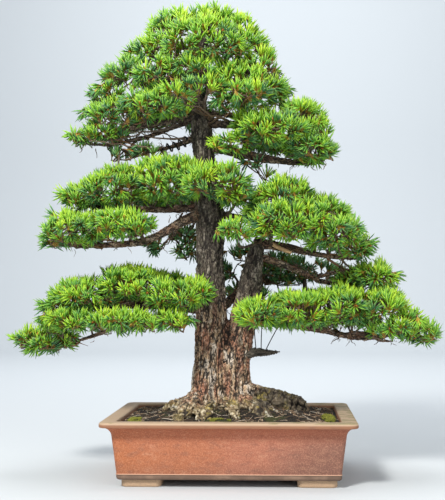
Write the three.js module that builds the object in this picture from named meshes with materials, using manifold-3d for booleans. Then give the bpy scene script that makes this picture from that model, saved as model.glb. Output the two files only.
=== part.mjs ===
// Old twin-trunk pine bonsai in an unglazed rectangular pot.
// Millimetres, +Z up, +Y away from the viewer. Built around the middle of the pot,
// then moved so that the origin lies at the middle of the whole object's base.

import * as THREE from 'three';
import { mergeVertices } from 'three/addons/utils/BufferGeometryUtils.js';
import Module from 'manifold-3d';

const wasm = await Module();
wasm.setup();

// ---- Driving dimensions ----------------------------------------------------------

const GAP = 0.5; // air left between neighbours that grow or lie together

const POT = {
  length: 504, // over the lip
  depth: 350,
  height: 130,
  lipWidth: 31, // flat top of the lip
  lipThickness: 10,
  flareHeight: 20, // hollow curve under the lip
  bodyInset: 22, // body under the flare, in from the lip's edge
  baseInset: 31, // body at the foot band
  bandProud: 1,
  bandHeight: 12,
  footHeight: 15,
  footLength: 79,
  footDepth: 60,
  footInset: 39, // outer side of a foot, in from the lip's edge
  floorThickness: 13,
  cornerRadius: 17,
};
const DRAIN = { radius: 16, spacing: 220 }; // two drainage holes
const SCREEN = { side: 46, thickness: 1, bars: 3, opening: 9.5, bar: 3.2 };
const STAPLE = { width: 24, wire: 1, leg: 17, hook: 11 };
const ANCHOR = { wire: 1.25, halfWidth: 97.3, top: 104, underFloor: 12, steps: 44 };
const GRIT = { height: 11 };
const SOIL = { belowLip: 9, mound: 26, moundX: -15 };

const LUMP_SIDES = { wide: 10, narrow: 8, rows: 4, split: 55 }; // split: half width in mm

// ---- Small helpers ---------------------------------------------------------------

const vec = (p) => new THREE.Vector3(...p);

/** A ring's middle. */
function middle(ring) {
  const sum = new THREE.Vector3();
  ring.forEach((point) => sum.add(point));
  return sum.divideScalar(ring.length);
}

/** Closed skin through rings of equal length, each ring counter-clockwise about the way up. */
function loft(rings) {
  const count = rings[0].length;
  const points = [...rings.flat(), middle(rings[0]), middle(rings.at(-1))];
  const startCap = count * rings.length;
  const endCap = startCap + 1;
  const lastRing = count * (rings.length - 1);
  const index = [];
  for (let i = 0; i < count; i += 1) {
    const next = (i + 1) % count;
    for (let row = 0; row < rings.length - 1; row += 1) {
      const low = row * count;
      const high = low + count;
      index.push(low + i, low + next, high + next);
      index.push(low + i, high + next, high + i);
    }
    index.push(startCap, next, i);
    index.push(endCap, lastRing + i, lastRing + next);
  }
  const geometry = new THREE.BufferGeometry().setFromPoints(points);
  geometry.setIndex(index);
  return geometry;
}

/** Manifold solid of a closed geometry. */
function solidOf(geometry) {
  const bare = geometry.clone();
  bare.deleteAttribute('normal');
  bare.deleteAttribute('uv');
  const merged = mergeVertices(bare, 1e-4);
  const mesh = new wasm.Mesh({
    numProp: 3,
    vertProperties: new Float32Array(merged.attributes.position.array),
    triVerts: new Uint32Array(merged.index.array),
  });
  return new wasm.Manifold(mesh);
}

/** Geometry of a manifold solid. */
function geometryOf(solid) {
  const mesh = solid.getMesh();
  const geometry = new THREE.BufferGeometry();
  geometry.setAttribute('position', new THREE.BufferAttribute(mesh.vertProperties, 3));
  geometry.setIndex(new THREE.BufferAttribute(mesh.triVerts, 1));
  return geometry;
}

/** One solid joined from several. */
const join = (solids) => solids.reduce((sum, solid) => sum.add(solid));

/** True where two solids' boxes meet. */
function near(a, b) {
  const one = a.boundingBox();
  const two = b.boundingBox();
  return [0, 1, 2].every((k) => one.min[k] < two.max[k] && two.min[k] < one.max[k]);
}

/** A solid cut by each of its neighbours; crumbs that a cut leaves loose are dropped. */
function cut(solid, neighbours) {
  const left = neighbours.reduce((rest, other) => (near(rest, other) ? rest.subtract(other) : rest), solid);
  const pieces = left.decompose();
  return pieces.reduce((best, piece) => (piece.volume() > best.volume() ? piece : best));
}

/** Rounded rectangle as a ring at height z. */
function roundedRing(length, depth, radius, z, steps = 4) {
  const ring = [];
  for (let corner = 0; corner < 4; corner += 1) {
    const sideX = corner === 0 || corner === 3 ? 1 : -1;
    const sideY = corner < 2 ? 1 : -1;
    for (let step = 0; step <= steps; step += 1) {
      const angle = (Math.PI / 2) * (corner + step / steps);
      const x = sideX * (length / 2 - radius) + radius * Math.cos(angle);
      const y = sideY * (depth / 2 - radius) + radius * Math.sin(angle);
      ring.push(new THREE.Vector3(x, y, z));
    }
  }
  return ring;
}

/** The pot's outline, drawn in by an inset, as a ring at height z. */
function potRing(inset, z) {
  const radius = Math.max(POT.cornerRadius - inset * 0.3, 6);
  return roundedRing(POT.length - 2 * inset, POT.depth - 2 * inset, radius, z);
}

/** Wire of round section along a path. */
function wire(points, radius, steps, sides = 4) {
  const section = new THREE.Shape();
  section.absarc(0, 0, radius, 0, 2 * Math.PI);
  const path = new THREE.CatmullRomCurve3(points.map(vec), false, 'centripetal');
  const settings = { steps, extrudePath: path, curveSegments: sides / 2 };
  return new THREE.ExtrudeGeometry(section, settings);
}

/**
 * Tapered woody limb through points [x, y, z, radius]. Its section is fluted, and extra
 * makes it thicker and longer all round.
 */
function limb(points, { sides = 6, spacing = 30, flute = 0.06, extra = 0 } = {}) {
  const path = new THREE.CatmullRomCurve3(points.map(([x, y, z]) => vec([x, y, z])), false, 'centripetal');
  const thickness = new THREE.CatmullRomCurve3(points.map((p, i) => vec([i, p[3], 0])), false, 'centripetal');
  const steps = Math.max(3, Math.round(path.getLength() / spacing));
  const frames = path.computeFrenetFrames(steps, false);
  const rings = [];
  for (let step = 0; step <= steps; step += 1) {
    const u = path.getUtoTmapping(step / steps);
    const radius = thickness.getPoint(u).y;
    const centre = path.getPoint(u);
    if (step === 0) centre.addScaledVector(frames.tangents[0], -extra);
    if (step === steps) centre.addScaledVector(frames.tangents[steps], extra);
    const ring = [];
    for (let side = 0; side < sides; side += 1) {
      const angle = (2 * Math.PI * side) / sides;
      const wave = Math.cos(3 * angle + 0.35 * step) + 0.6 * Math.cos(5 * angle - 0.2 * step);
      const reach = radius * (1 + flute * wave) + extra;
      const point = centre.clone();
      point.addScaledVector(frames.normals[step], reach * Math.cos(angle));
      point.addScaledVector(frames.binormals[step], reach * Math.sin(angle));
      ring.push(point);
    }
    rings.push(ring);
  }
  return loft(rings);
}

/** Egg-shaped lump: [x, y, z, half length, half depth, rise above z, drop below z]. */
function lump([x, y, z, halfLength, halfDepth, rise, drop], extra = 0) {
  const around = halfLength > LUMP_SIDES.split ? LUMP_SIDES.wide : LUMP_SIDES.narrow;
  const geometry = new THREE.SphereGeometry(1, around, LUMP_SIDES.rows);
  geometry.rotateX(Math.PI / 2);
  const position = geometry.attributes.position;
  for (let i = 0; i < position.count; i += 1) {
    const up = position.getZ(i);
    const height = up > 0 ? rise : drop;
    position.setX(i, x + position.getX(i) * (halfLength + extra));
    position.setY(i, y + position.getY(i) * (halfDepth + extra));
    position.setZ(i, z + up * (height + extra));
  }
  return geometry;
}

// ---- Pot -------------------------------------------------------------------------

/** Fired pot: walls, lip, foot band, floor with two drainage holes, four corner feet. */
function potSolid() {
  const { height, lipThickness, flareHeight, footHeight, bandHeight, floorThickness } = POT;
  const wallTop = height - lipThickness;
  const bandTop = footHeight + bandHeight;
  const wall = 13;
  const bowl = loft([
    potRing(POT.baseInset, footHeight),
    potRing(POT.baseInset - POT.bandProud, footHeight + 1.5),
    potRing(POT.baseInset - POT.bandProud, bandTop - 1),
    potRing(POT.baseInset, bandTop),
    potRing(POT.bodyInset, wallTop - flareHeight),
    potRing(POT.bodyInset * 0.75, wallTop - flareHeight * 0.4),
    potRing(POT.bodyInset * 0.35, wallTop - flareHeight * 0.06),
    potRing(1.5, wallTop),
    potRing(0, wallTop + 3),
    potRing(0, height - 3),
    potRing(2, height),
    potRing(POT.lipWidth - 2, height),
    potRing(POT.lipWidth, height - 2),
    potRing(POT.baseInset + wall, footHeight + floorThickness),
  ]);
  const footX = POT.length / 2 - POT.footInset - POT.footLength / 2;
  const footY = POT.depth / 2 - POT.footInset - POT.footDepth / 2;
  const feet = [-1, 1].flatMap((sideX) => [-1, 1].map((sideY) => {
    const foot = loft([
      roundedRing(POT.footLength - 4, POT.footDepth - 4, 10, 0, 2),
      roundedRing(POT.footLength, POT.footDepth, 12, footHeight + 2, 2),
    ]);
    foot.translate(sideX * footX, sideY * footY, 0);
    return solidOf(foot);
  }));
  const holes = [-1, 1].map((side) => {
    const hole = new THREE.CylinderGeometry(DRAIN.radius, DRAIN.radius, 3 * floorThickness, 16);
    hole.rotateX(Math.PI / 2);
    hole.translate((side * DRAIN.spacing) / 2, 0, footHeight + floorThickness / 2);
    return solidOf(hole);
  });
  return cut(join([solidOf(bowl), ...feet]), holes);
}

const FLOOR_TOP = POT.footHeight + POT.floorThickness;
const SOIL_EDGE = POT.height - SOIL.belowLip;

/** Inside of the pot between two heights, drawn in by an inset. */
function fillRings(low, high, inset) {
  const slope = (POT.baseInset + 13 - POT.lipWidth) / (POT.height - 2 - FLOOR_TOP);
  const at = (z) => potRing(POT.lipWidth + slope * (POT.height - 2 - z) + inset, z);
  return [at(low), at(high)];
}

/** Plastic mesh square over a drainage hole. */
function screenSolid(side) {
  const x = (side * DRAIN.spacing) / 2;
  const z = FLOOR_TOP + 0.4 + SCREEN.thickness / 2;
  const plate = new THREE.BoxGeometry(SCREEN.side, SCREEN.side, SCREEN.thickness);
  plate.translate(x, 0, z);
  const pitch = SCREEN.opening + SCREEN.bar;
  const windows = [];
  for (let row = -1; row <= 1; row += 1) {
    for (let column = -1; column <= 1; column += 1) {
      const window = new THREE.BoxGeometry(SCREEN.opening, SCREEN.opening, 4);
      window.translate(x + column * pitch, row * pitch, z);
      windows.push(solidOf(window));
    }
  }
  return cut(solidOf(plate), windows);
}

/** Bent wire that holds a screen down: over it, through the hole, out under the floor. */
function staplePath(side) {
  const x = (side * DRAIN.spacing) / 2;
  const top = FLOOR_TOP + 0.4 + SCREEN.thickness + STAPLE.wire + 0.4;
  const low = top - STAPLE.leg - STAPLE.wire;
  const half = STAPLE.width / 2;
  return [
    [x, -half - STAPLE.hook, low - 0.6],
    [x, -half - 3, low - 0.6],
    [x, -half, low + 3],
    [x, -half, top - 3],
    [x, -half + 3, top],
    [x, half - 3, top],
    [x, half, top - 3],
    [x, half, low + 3],
    [x, half + 3, low - 0.6],
    [x, half + STAPLE.hook, low - 0.6],
  ];
}

/** Root anchor wire: down through one hole, under the floor, up through the other. */
const ANCHOR_HALF_PATH = [
  [ANCHOR.halfWidth, 0, ANCHOR.top],
  [ANCHOR.halfWidth, 0, 50],
  [ANCHOR.halfWidth, 0, FLOOR_TOP],
  [ANCHOR.halfWidth - 0.3, 0, ANCHOR.underFloor + 3],
  [ANCHOR.halfWidth - 2.5, 0, ANCHOR.underFloor + 0.3],
  [ANCHOR.halfWidth - 8, 0, ANCHOR.underFloor],
];
const ANCHOR_PATH = [
  ...ANCHOR_HALF_PATH.map(([x, y, z]) => [-x, y, z]),
  [0, 0, ANCHOR.underFloor],
  ...ANCHOR_HALF_PATH.toReversed(),
];

/** Room that the anchor wire's two legs take in the soil and grit. */
function anchorRoom() {
  const low = FLOOR_TOP - 5;
  const height = ANCHOR.top + GAP - low;
  return join([-1, 1].map((side) => {
    const leg = new THREE.BoxGeometry(2 * ANCHOR.wire + 1.6, 2 * ANCHOR.wire + 1.6, height);
    leg.translate(side * ANCHOR.halfWidth, 0, low + height / 2);
    return solidOf(leg);
  }));
}

/** Coarse grit over the floor, with a shallow pocket over each screen. */
function gritSolid() {
  const block = solidOf(loft(fillRings(FLOOR_TOP + GAP, FLOOR_TOP + GRIT.height, GAP)));
  const pockets = [-1, 1].map((side) => {
    const pocket = new THREE.BoxGeometry(SCREEN.side + 1, SCREEN.side + 1, 15);
    pocket.translate((side * DRAIN.spacing) / 2, 0, FLOOR_TOP - 2);
    return solidOf(pocket);
  });
  return cut(block, [...pockets, anchorRoom()]);
}

/** Soil from the grit up to its mounded top. */
function soilBlock(extra = 0) {
  const [low, edge] = fillRings(FLOOR_TOP + GRIT.height + GAP, SOIL_EDGE, GAP);
  const moundRings = [0.8, 0.55, 0.3].map((share) => {
    const rise = SOIL.mound * (1 - share * share) ** 1.6;
    return edge.map((p) => vec([
      SOIL.moundX * (1 - share) + p.x * share,
      p.y * share,
      SOIL_EDGE + rise + extra,
    ]));
  });
  const top = edge.map((p) => vec([p.x, p.y, p.z + extra]));
  return solidOf(loft([low, top, ...moundRings]));
}

// ---- Wood ------------------------------------------------------------------------

// Points of every limb are [x, y, z, radius].
const LEFT_TRUNK = [
  [-47, 0, 104, 42],
  [-50, -2, 160, 45],
  [-48, -3, 215, 37],
  [-47, 0, 300, 36],
  [-47, 2, 380, 32],
  [-50, 4, 450, 30],
  [-47, 3, 535, 31],
  [-56, 0, 610, 27],
  [-60, -3, 670, 24],
  [-68, -2, 740, 22],
  [-74, 3, 790, 17],
  [-80, 6, 840, 12],
  [-72, 2, 890, 8],
  [-60, 0, 935, 4.5],
];
const RIGHT_TRUNK = [
  [12, 4, 104, 48],
  [6, 4, 160, 38],
  [3, 4, 215, 32],
  [15, 5, 300, 31],
  [34, 6, 380, 27],
  [41, 6, 430, 23],
  [50, 5, 472, 16],
  [58, 4, 500, 10],
];
const ROOTS = [
  [[-60, 0, 150, 34], [-100, -8, 146, 22], [-135, -14, 135, 14], [-168, -18, 116, 8]],
  [[-60, -20, 165, 30], [-82, -58, 150, 24], [-95, -88, 134, 20], [-112, -112, 112, 10]],
  [[-40, -20, 150, 26], [-58, -62, 140, 22], [-52, -98, 124, 18], [-48, -118, 106, 9]],
  [[-10, -20, 145, 28], [0, -58, 138, 16], [12, -88, 128, 12], [20, -112, 112, 7]],
  [[15, -15, 158, 26], [48, -42, 148, 15], [68, -70, 136, 12], [86, -96, 114, 8]],
  [[20, 0, 174, 26], [60, 14, 171, 17], [104, 26, 161, 14], [140, 34, 148, 13], [164, 38, 122, 10]],
  [[15, 4, 150, 26], [60, 12, 148, 22], [104, 22, 140, 17], [138, 32, 124, 12]],
  [[25, -5, 150, 24], [70, -22, 142, 13], [105, -48, 130, 9], [128, -62, 112, 6]],
  [[-55, 15, 150, 30], [-92, 52, 142, 20], [-122, 82, 122, 11], [-135, 96, 108, 7]],
  [[-15, 15, 150, 30], [-8, 62, 142, 20], [4, 96, 122, 11], [10, 110, 106, 7]],
  [[20, 15, 152, 28], [62, 54, 142, 17], [92, 84, 122, 10], [104, 98, 108, 7]],
];
const ROOT_PLATE = [-22, 0, 118, 72, 70, 22, 26];

/** Both trunks and the surface roots, which have grown together into one piece. */
function trunkSolid(extra = 0) {
  const trunks = [
    solidOf(limb(LEFT_TRUNK, { sides: 10, spacing: 45, extra })),
    solidOf(limb(RIGHT_TRUNK, { sides: 10, spacing: 45, extra })),
  ];
  const roots = ROOTS.map((root) => solidOf(limb(root, { sides: 6, spacing: 42, flute: 0.12, extra })));
  return join([...trunks, ...roots, solidOf(lump(ROOT_PLATE, extra))]);
}

const BRANCHES = {
  branch_lower_left: [
    [-50, 5, 345, 15], [-100, -6, 352, 12], [-160, -14, 356, 9.5], [-225, -14, 354, 8],
    [-290, -10, 350, 6], [-345, -6, 346, 4],
  ],
  branch_lower_left_tip: [
    [-190, -4, 350, 5.5], [-206, 4, 334, 5.5], [-236, 6, 314, 5.5], [-282, 4, 296, 5.2], [-330, 2, 280, 4.4],
    [-390, 0, 280, 3],
  ],
  branch_lower_right: [
    [22, -6, 330, 14], [72, -18, 322, 11], [130, -14, 314, 9.5], [190, -6, 304, 8.5], [232, 0, 292, 7.5],
    [275, 6, 286, 6.5], [325, 6, 291, 5], [368, 2, 300, 3.5],
  ],
  branch_lower_right_twisted: [
    [196, -18, 308, 5], [222, -24, 292, 5], [250, -20, 299, 4.6], [280, -14, 297, 4.2], [306, -16, 282, 4],
    [336, -10, 280, 3.2],
  ],
  branch_middle_left: [
    [-48, 0, 556, 15], [-92, -10, 540, 12.5], [-132, -16, 516, 11], [-172, -18, 494, 9.5], [-220, -16, 485, 8.5],
    [-300, -8, 482, 6.5], [-368, -4, 482, 4],
  ],
  branch_middle_left_upper: [
    [-48, 10, 566, 12], [-110, 16, 562, 9], [-180, 18, 560, 7.5], [-250, 12, 562, 6], [-325, 6, 566, 4],
  ],
  branch_middle_left_hanging: [
    [-116, 4, 526, 4.5], [-126, 24, 510, 4], [-140, 36, 498, 3.4], [-156, 38, 486, 2.6],
  ],
  branch_middle_right: [
    [52, 6, 486, 13], [95, 4, 481, 10.5], [150, -2, 468, 8], [205, -4, 458, 6], [260, -6, 453, 4],
  ],
  branch_middle_right_upper: [
    [-44, 8, 556, 11], [-5, 12, 544, 9], [40, 14, 538, 8], [100, 10, 545, 6.5], [160, 6, 546, 5], [210, 2, 538, 3.5],
  ],
  branch_right_small: [
    [44, 8, 462, 11], [88, 10, 448, 8.5], [140, 12, 428, 7.5], [172, 12, 410, 6.5], [212, 12, 401, 6],
    [256, 12, 394, 5], [300, 12, 405, 3.5],
  ],
  branch_right_small_fork: [
    [172, 10, 411, 4.8], [198, 3, 420, 4.2], [226, 0, 429, 3.8], [262, 4, 431, 3],
  ],
  branch_back: [
    [-30, 16, 344, 12], [-8, 50, 366, 11], [26, 100, 396, 8.5], [84, 130, 412, 6.5], [156, 138, 416, 5],
    [215, 130, 424, 3.5],
  ],
  branch_upper_left: [
    [-66, 0, 756, 12], [-105, -6, 752, 10], [-160, -8, 742, 8], [-215, -8, 730, 6.5], [-262, -4, 724, 5],
  ],
  branch_upper_left_low: [
    [-98, 10, 744, 6], [-132, 12, 735, 6], [-170, 12, 720, 5.6], [-215, 8, 708, 5.2], [-268, 4, 697, 4.4],
    [-326, 0, 702, 3],
  ],
  branch_wired: [
    [-60, 2, 716, 7.5], [-90, 0, 708, 6.6], [-120, -2, 694, 5.8], [-150, -4, 687, 5], [-178, -4, 680, 4.4],
    [-208, -2, 681, 3.6], [-242, 0, 686, 2.6],
  ],
  branch_upper_right: [
    [-56, -2, 696, 16], [-10, -4, 684, 13], [35, -6, 672, 11], [85, -6, 662, 9], [140, -4, 656, 6.5],
    [192, 0, 658, 4],
  ],
  branch_upper_right_top: [
    [-66, -4, 744, 12], [-25, -12, 738, 10], [20, -14, 736, 8.5], [70, -12, 734, 6.5], [130, -8, 736, 4.5],
    [170, -6, 742, 3.5],
  ],
  branch_crown_left: [
    [-76, 4, 826, 9], [-115, 0, 832, 7.5], [-155, -4, 838, 6], [-196, -4, 848, 4.5], [-236, -2, 852, 3],
  ],
  branch_crown_left_low: [
    [-72, 6, 786, 8], [-118, 10, 786, 7], [-160, 12, 778, 6], [-205, 8, 770, 5], [-262, 4, 768, 3.5],
  ],
  branch_crown_right: [
    [-78, 4, 848, 8], [-40, 0, 853, 7], [5, -6, 853, 6.5], [45, -6, 848, 5.5], [85, -4, 842, 3.5],
  ],
  branch_crown_right_low: [
    [-74, 8, 772, 8], [-30, 10, 764, 6], [15, 8, 756, 6], [58, 6, 748, 5.5], [110, 4, 752, 4.5], [160, 2, 762, 3.5],
  ],
};

const DEAD_STUB = [[26, -4, 252, 14], [50, -8, 256, 10.5], [74, -10, 256, 7.5], [100, -12, 258, 2.5]];
const CUT_STUB = [[84, -6, 484, 6], [104, -16, 473, 5], [124, -20, 465, 4.2]];

// ---- Wires on the tree -----------------------------------------------------------

const GUY_WIRE_RADIUS = 1;
const GUY_WIRES = {
  guy_wire_left: [[50, -6, 252], [48, -8, 275], [46, -12, 300], [46, -14, 330]],
  guy_wire_middle: [[60, -8, 250], [60, -9, 275], [61, -13, 300], [62, -16, 330]],
  guy_wire_right: [[66, -8, 254], [80, -11, 282], [94, -14, 308], [102, -16, 324]],
};
const TRAINING_WIRE = { radius: 1.9, from: 0.2, to: 0.5, turns: 4, stepsPerTurn: 11 };

/** Training wire wound along the small wired branch. */
function trainingWire() {
  const points = BRANCHES.branch_wired;
  const path = new THREE.CatmullRomCurve3(points.map(([x, y, z]) => vec([x, y, z])), false, 'centripetal');
  const steps = TRAINING_WIRE.turns * TRAINING_WIRE.stepsPerTurn;
  const frames = path.computeFrenetFrames(steps, false);
  const route = [];
  for (let step = 0; step <= steps; step += 1) {
    const share = step / steps;
    const along = TRAINING_WIRE.from + (TRAINING_WIRE.to - TRAINING_WIRE.from) * share;
    const frame = Math.round(along * steps);
    const angle = 2 * Math.PI * TRAINING_WIRE.turns * share;
    const reach = 8.4 - 2.0 * share + TRAINING_WIRE.radius;
    const point = path.getPointAt(along);
    point.addScaledVector(frames.normals[frame], reach * Math.cos(angle));
    point.addScaledVector(frames.binormals[frame], reach * Math.sin(angle));
    route.push(point.toArray());
  }
  return solidOf(wire(route, TRAINING_WIRE.radius, steps));
}

// ---- Needle pads -----------------------------------------------------------------

// Every pad is a group of lumps [x, y, z, half length, half depth, rise, drop].
const PADS = {
  pad_apex: [
    [-45, 5, 925, 78, 85, 74, 44], [-118, -12, 915, 78, 82, 74, 40], [10, 8, 906, 72, 80, 76, 36],
    [-172, 12, 890, 56, 74, 52, 30], [-60, -84, 898, 92, 58, 58, 34], [-62, 88, 890, 108, 72, 66, 40],
  ],
  pad_crown_left: [
    [-208, -8, 848, 74, 88, 40, 30], [-228, 8, 808, 82, 94, 34, 24], [-140, -72, 836, 72, 62, 38, 26],
    [-142, 84, 836, 94, 80, 44, 32],
  ],
  pad_crown_front: [
    [-72, -104, 838, 58, 44, 28, 22], [-62, -112, 796, 96, 54, 30, 24], [20, -100, 792, 62, 52, 30, 22],
  ],
  pad_crown_right: [
    [62, -16, 862, 50, 80, 38, 24], [78, 0, 812, 44, 88, 34, 26], [22, 72, 846, 84, 80, 44, 36],
    [18, -72, 832, 64, 50, 32, 18], [14, -50, 788, 72, 58, 22, 26],
  ],
  pad_upper_left: [
    [-238, -4, 764, 86, 98, 32, 26], [-158, -74, 770, 74, 68, 32, 20], [-152, 78, 776, 90, 84, 30, 28],
    [-272, 0, 730, 52, 64, 26, 20], [-318, 0, 717, 30, 38, 16, 12],
  ],
  pad_upper_left_small: [
    [-236, 0, 685, 30, 34, 14, 13], [-184, -2, 690, 32, 28, 14, 12],
  ],
  pad_upper_right: [
    [142, 2, 768, 50, 84, 28, 24], [168, -8, 736, 40, 62, 24, 18], [84, -56, 722, 82, 74, 36, 32],
    [164, -18, 690, 55, 72, 30, 32], [98, 76, 728, 88, 84, 44, 34], [2, -56, 698, 54, 38, 20, 26],
    [46, -40, 748, 46, 46, 22, 24],
  ],
  pad_upper_right_under: [[54, -8, 657, 30, 30, 9, 8]],
  pad_middle_left_upper: [
    [-130, -22, 622, 94, 100, 50, 44], [-250, -10, 606, 80, 92, 40, 40], [-316, 0, 588, 49, 62, 30, 20], [-236, -6, 640, 46, 52, 18, 20],
    [-32, -92, 612, 70, 56, 42, 34], [8, -66, 588, 42, 58, 30, 22], [-150, 92, 612, 116, 86, 50, 34],
  ],
  pad_middle_left_lower: [
    [-318, -46, 522, 74, 68, 33, 34], [-222, -76, 528, 70, 58, 26, 28], [-370, -18, 502, 30, 40, 19, 22],
    [-358, 4, 548, 30, 34, 12, 12], [-118, -34, 545, 44, 40, 15, 18],
  ],
  pad_middle_left_hanging: [
    [-148, 40, 486, 44, 36, 20, 18], [-106, 48, 484, 34, 30, 26, 26], [-104, 34, 512, 36, 30, 20, 22],
  ],
  pad_middle_right: [
    [108, -12, 578, 73, 98, 52, 30], [198, 0, 558, 52, 82, 36, 26], [120, -84, 530, 92, 58, 44, 38],
    [208, -50, 512, 64, 70, 36, 36], [258, -10, 486, 37, 52, 26, 28], [8, -88, 512, 46, 40, 24, 18],
    [124, 82, 562, 116, 80, 50, 40],
  ],
  pad_right_small: [[300, 10, 420, 49, 56, 34, 22], [252, 20, 416, 40, 38, 24, 20]],
  pad_back: [
    [96, 146, 438, 104, 58, 40, 28], [182, 132, 440, 46, 50, 30, 28], [-10, 128, 438, 48, 44, 34, 28],
    [24, 124, 392, 50, 42, 26, 34], [8, 122, 474, 44, 38, 18, 20],
  ],
  pad_lower_left: [
    [-214, -10, 402, 86, 92, 42, 28], [-304, -5, 384, 84, 88, 34, 34], [-372, -5, 356, 30, 44, 20, 20], [-110, -58, 384, 78, 68, 38, 30],
    [-192, 88, 390, 128, 84, 46, 34],
  ],
  pad_lower_left_front: [
    [-328, -48, 330, 70, 58, 24, 20], [-222, -78, 330, 80, 54, 22, 19], [-122, -84, 332, 50, 44, 19, 18],
  ],
  pad_lower_left_tip: [[-392, 0, 290, 62, 50, 26, 28], [-436, 0, 287, 33, 34, 19, 16]],
  pad_lower_right: [
    [60, -82, 346, 54, 50, 32, 30], [140, -52, 350, 75, 78, 40, 34], [230, -12, 360, 76, 96, 42, 40],
    [308, -6, 360, 62, 82, 38, 40], [350, -18, 322, 52, 62, 38, 28], [336, -34, 314, 66, 44, 20, 18], [394, 0, 306, 39, 46, 26, 28],
    [176, 84, 352, 122, 70, 40, 36],
  ],
};

// Pads are deepest low on the tree and shallowest at its top.
const SPREAD = { low: 290, lowDepth: 1.2, high: 925, highDepth: 0.76, fixed: ['pad_back'] };

/** A lump [x, y, z, half length, half depth, ...] drawn out or in from front to back. */
function spreadLump([x, y, z, halfLength, halfDepth, ...rest]) {
  const share = (z - SPREAD.low) / (SPREAD.high - SPREAD.low);
  const depth = SPREAD.lowDepth + (SPREAD.highDepth - SPREAD.lowDepth) * share;
  return [x, y * depth, z, halfLength, halfDepth * depth, ...rest];
}

/** All lumps of a pad as one solid. */
const padBlock = (lumps, extra = 0) => join(lumps.map((shape) => solidOf(lump(shape, extra))));

// ---- Moss ------------------------------------------------------------------------

const MOSS = {
  moss_left: [-182, -96, 121, 30, 42, 7, 8],
  moss_right: [197, -62, 121, 16, 62, 9, 8],
  moss_front: [-24, -118, 122, 34, 14, 9, 9],
  moss_back: [-120, 108, 122, 46, 22, 9, 9],
};

// ---- Assembly --------------------------------------------------------------------

const FINISHES = {
  clay: { color: 0xb5694e, roughness: 0.8 },
  mesh: { color: 0x1d1f1d, roughness: 0.7 },
  copper: { color: 0x6e4a36, roughness: 0.5, metalness: 0.9 },
  darkWire: { color: 0x1b1a1a, roughness: 0.5, metalness: 0.7 },
  guyWire: { color: 0x55504a, roughness: 0.5, metalness: 0.8 },
  grit: { color: 0x8b8478, roughness: 0.95 },
  soil: { color: 0x3a2d22, roughness: 1 },
  moss: { color: 0x6f8c2a, roughness: 0.95 },
  bark: { color: 0x7a5c48, roughness: 0.95 },
  branchBark: { color: 0x6b5543, roughness: 0.95 },
  deadWood: { color: 0x77705f, roughness: 0.9 },
  cutWood: { color: 0xc9ab84, roughness: 0.8 },
  needles: { color: 0x5c9a2e, roughness: 0.6 },
};

const model = new THREE.Group();

/** Adds one named piece to the model. */
function place(name, solid, finish) {
  const material = new THREE.MeshStandardMaterial(FINISHES[finish]);
  const mesh = new THREE.Mesh(geometryOf(solid), material);
  mesh.name = name;
  model.add(mesh);
}

const trunkRoom = trunkSolid(GAP);
const soilRoom = soilBlock(GAP);
const pot = potSolid();

place('pot', pot, 'clay');
[['left', -1], ['right', 1]].forEach(([label, side]) => {
  place(`drainage_screen_${label}`, screenSolid(side), 'mesh');
  place(`screen_staple_${label}`, solidOf(wire(staplePath(side), STAPLE.wire, 28)), 'copper');
});
place('root_anchor_wire', solidOf(wire(ANCHOR_PATH, ANCHOR.wire, ANCHOR.steps)), 'copper');
place('drainage_grit', gritSolid(), 'grit');
place('soil', cut(soilBlock(), [trunkRoom, anchorRoom()]), 'soil');
Object.entries(MOSS).forEach(([name, shape]) => {
  place(name, cut(solidOf(lump(shape)), [soilRoom, trunkRoom]), 'moss');
});
place('trunk_and_roots', trunkSolid(), 'bark');

const rooms = [trunkRoom];
Object.entries(BRANCHES).forEach(([name, points]) => {
  place(name, cut(solidOf(limb(points)), rooms), 'branchBark');
  rooms.push(solidOf(limb(points, { extra: GAP })));
});
place('dead_stub', cut(solidOf(limb(DEAD_STUB)), [trunkRoom]), 'deadWood');
rooms.push(solidOf(limb(DEAD_STUB, { extra: GAP })));
place('cut_stub', cut(solidOf(limb(CUT_STUB)), rooms), 'cutWood');
rooms.push(solidOf(limb(CUT_STUB, { extra: GAP })));

Object.entries(GUY_WIRES).forEach(([name, points]) => {
  place(name, cut(solidOf(wire(points, GUY_WIRE_RADIUS, 6)), rooms), 'guyWire');
  rooms.push(solidOf(wire(points, GUY_WIRE_RADIUS + GAP, 6)));
});
place('training_wire', trainingWire(), 'darkWire');

Object.entries(PADS).forEach(([name, shapes]) => {
  const lumps = SPREAD.fixed.includes(name) ? shapes : shapes.map(spreadLump);
  place(name, cut(padBlock(lumps), rooms), 'needles');
  rooms.push(padBlock(lumps, GAP));
});

// The origin lies at the middle of the object's footprint, on the surface it stands on.
const box = new THREE.Box3().setFromObject(model);
const centre = box.getCenter(new THREE.Vector3());
model.position.set(-centre.x, -centre.y, -box.min.z);
model.updateMatrixWorld(true);

export default model;
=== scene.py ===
"""Looks of an old twin-trunk bonsai pine in an unglazed clay pot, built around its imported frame."""

import logging
import math
from dataclasses import dataclass, field, replace
from enum import Enum
from typing import Iterable, Optional, Sequence, Union

import bmesh
import bpy
import numpy as np
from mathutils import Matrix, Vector, noise
from mathutils.bvhtree import BVHTree


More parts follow.
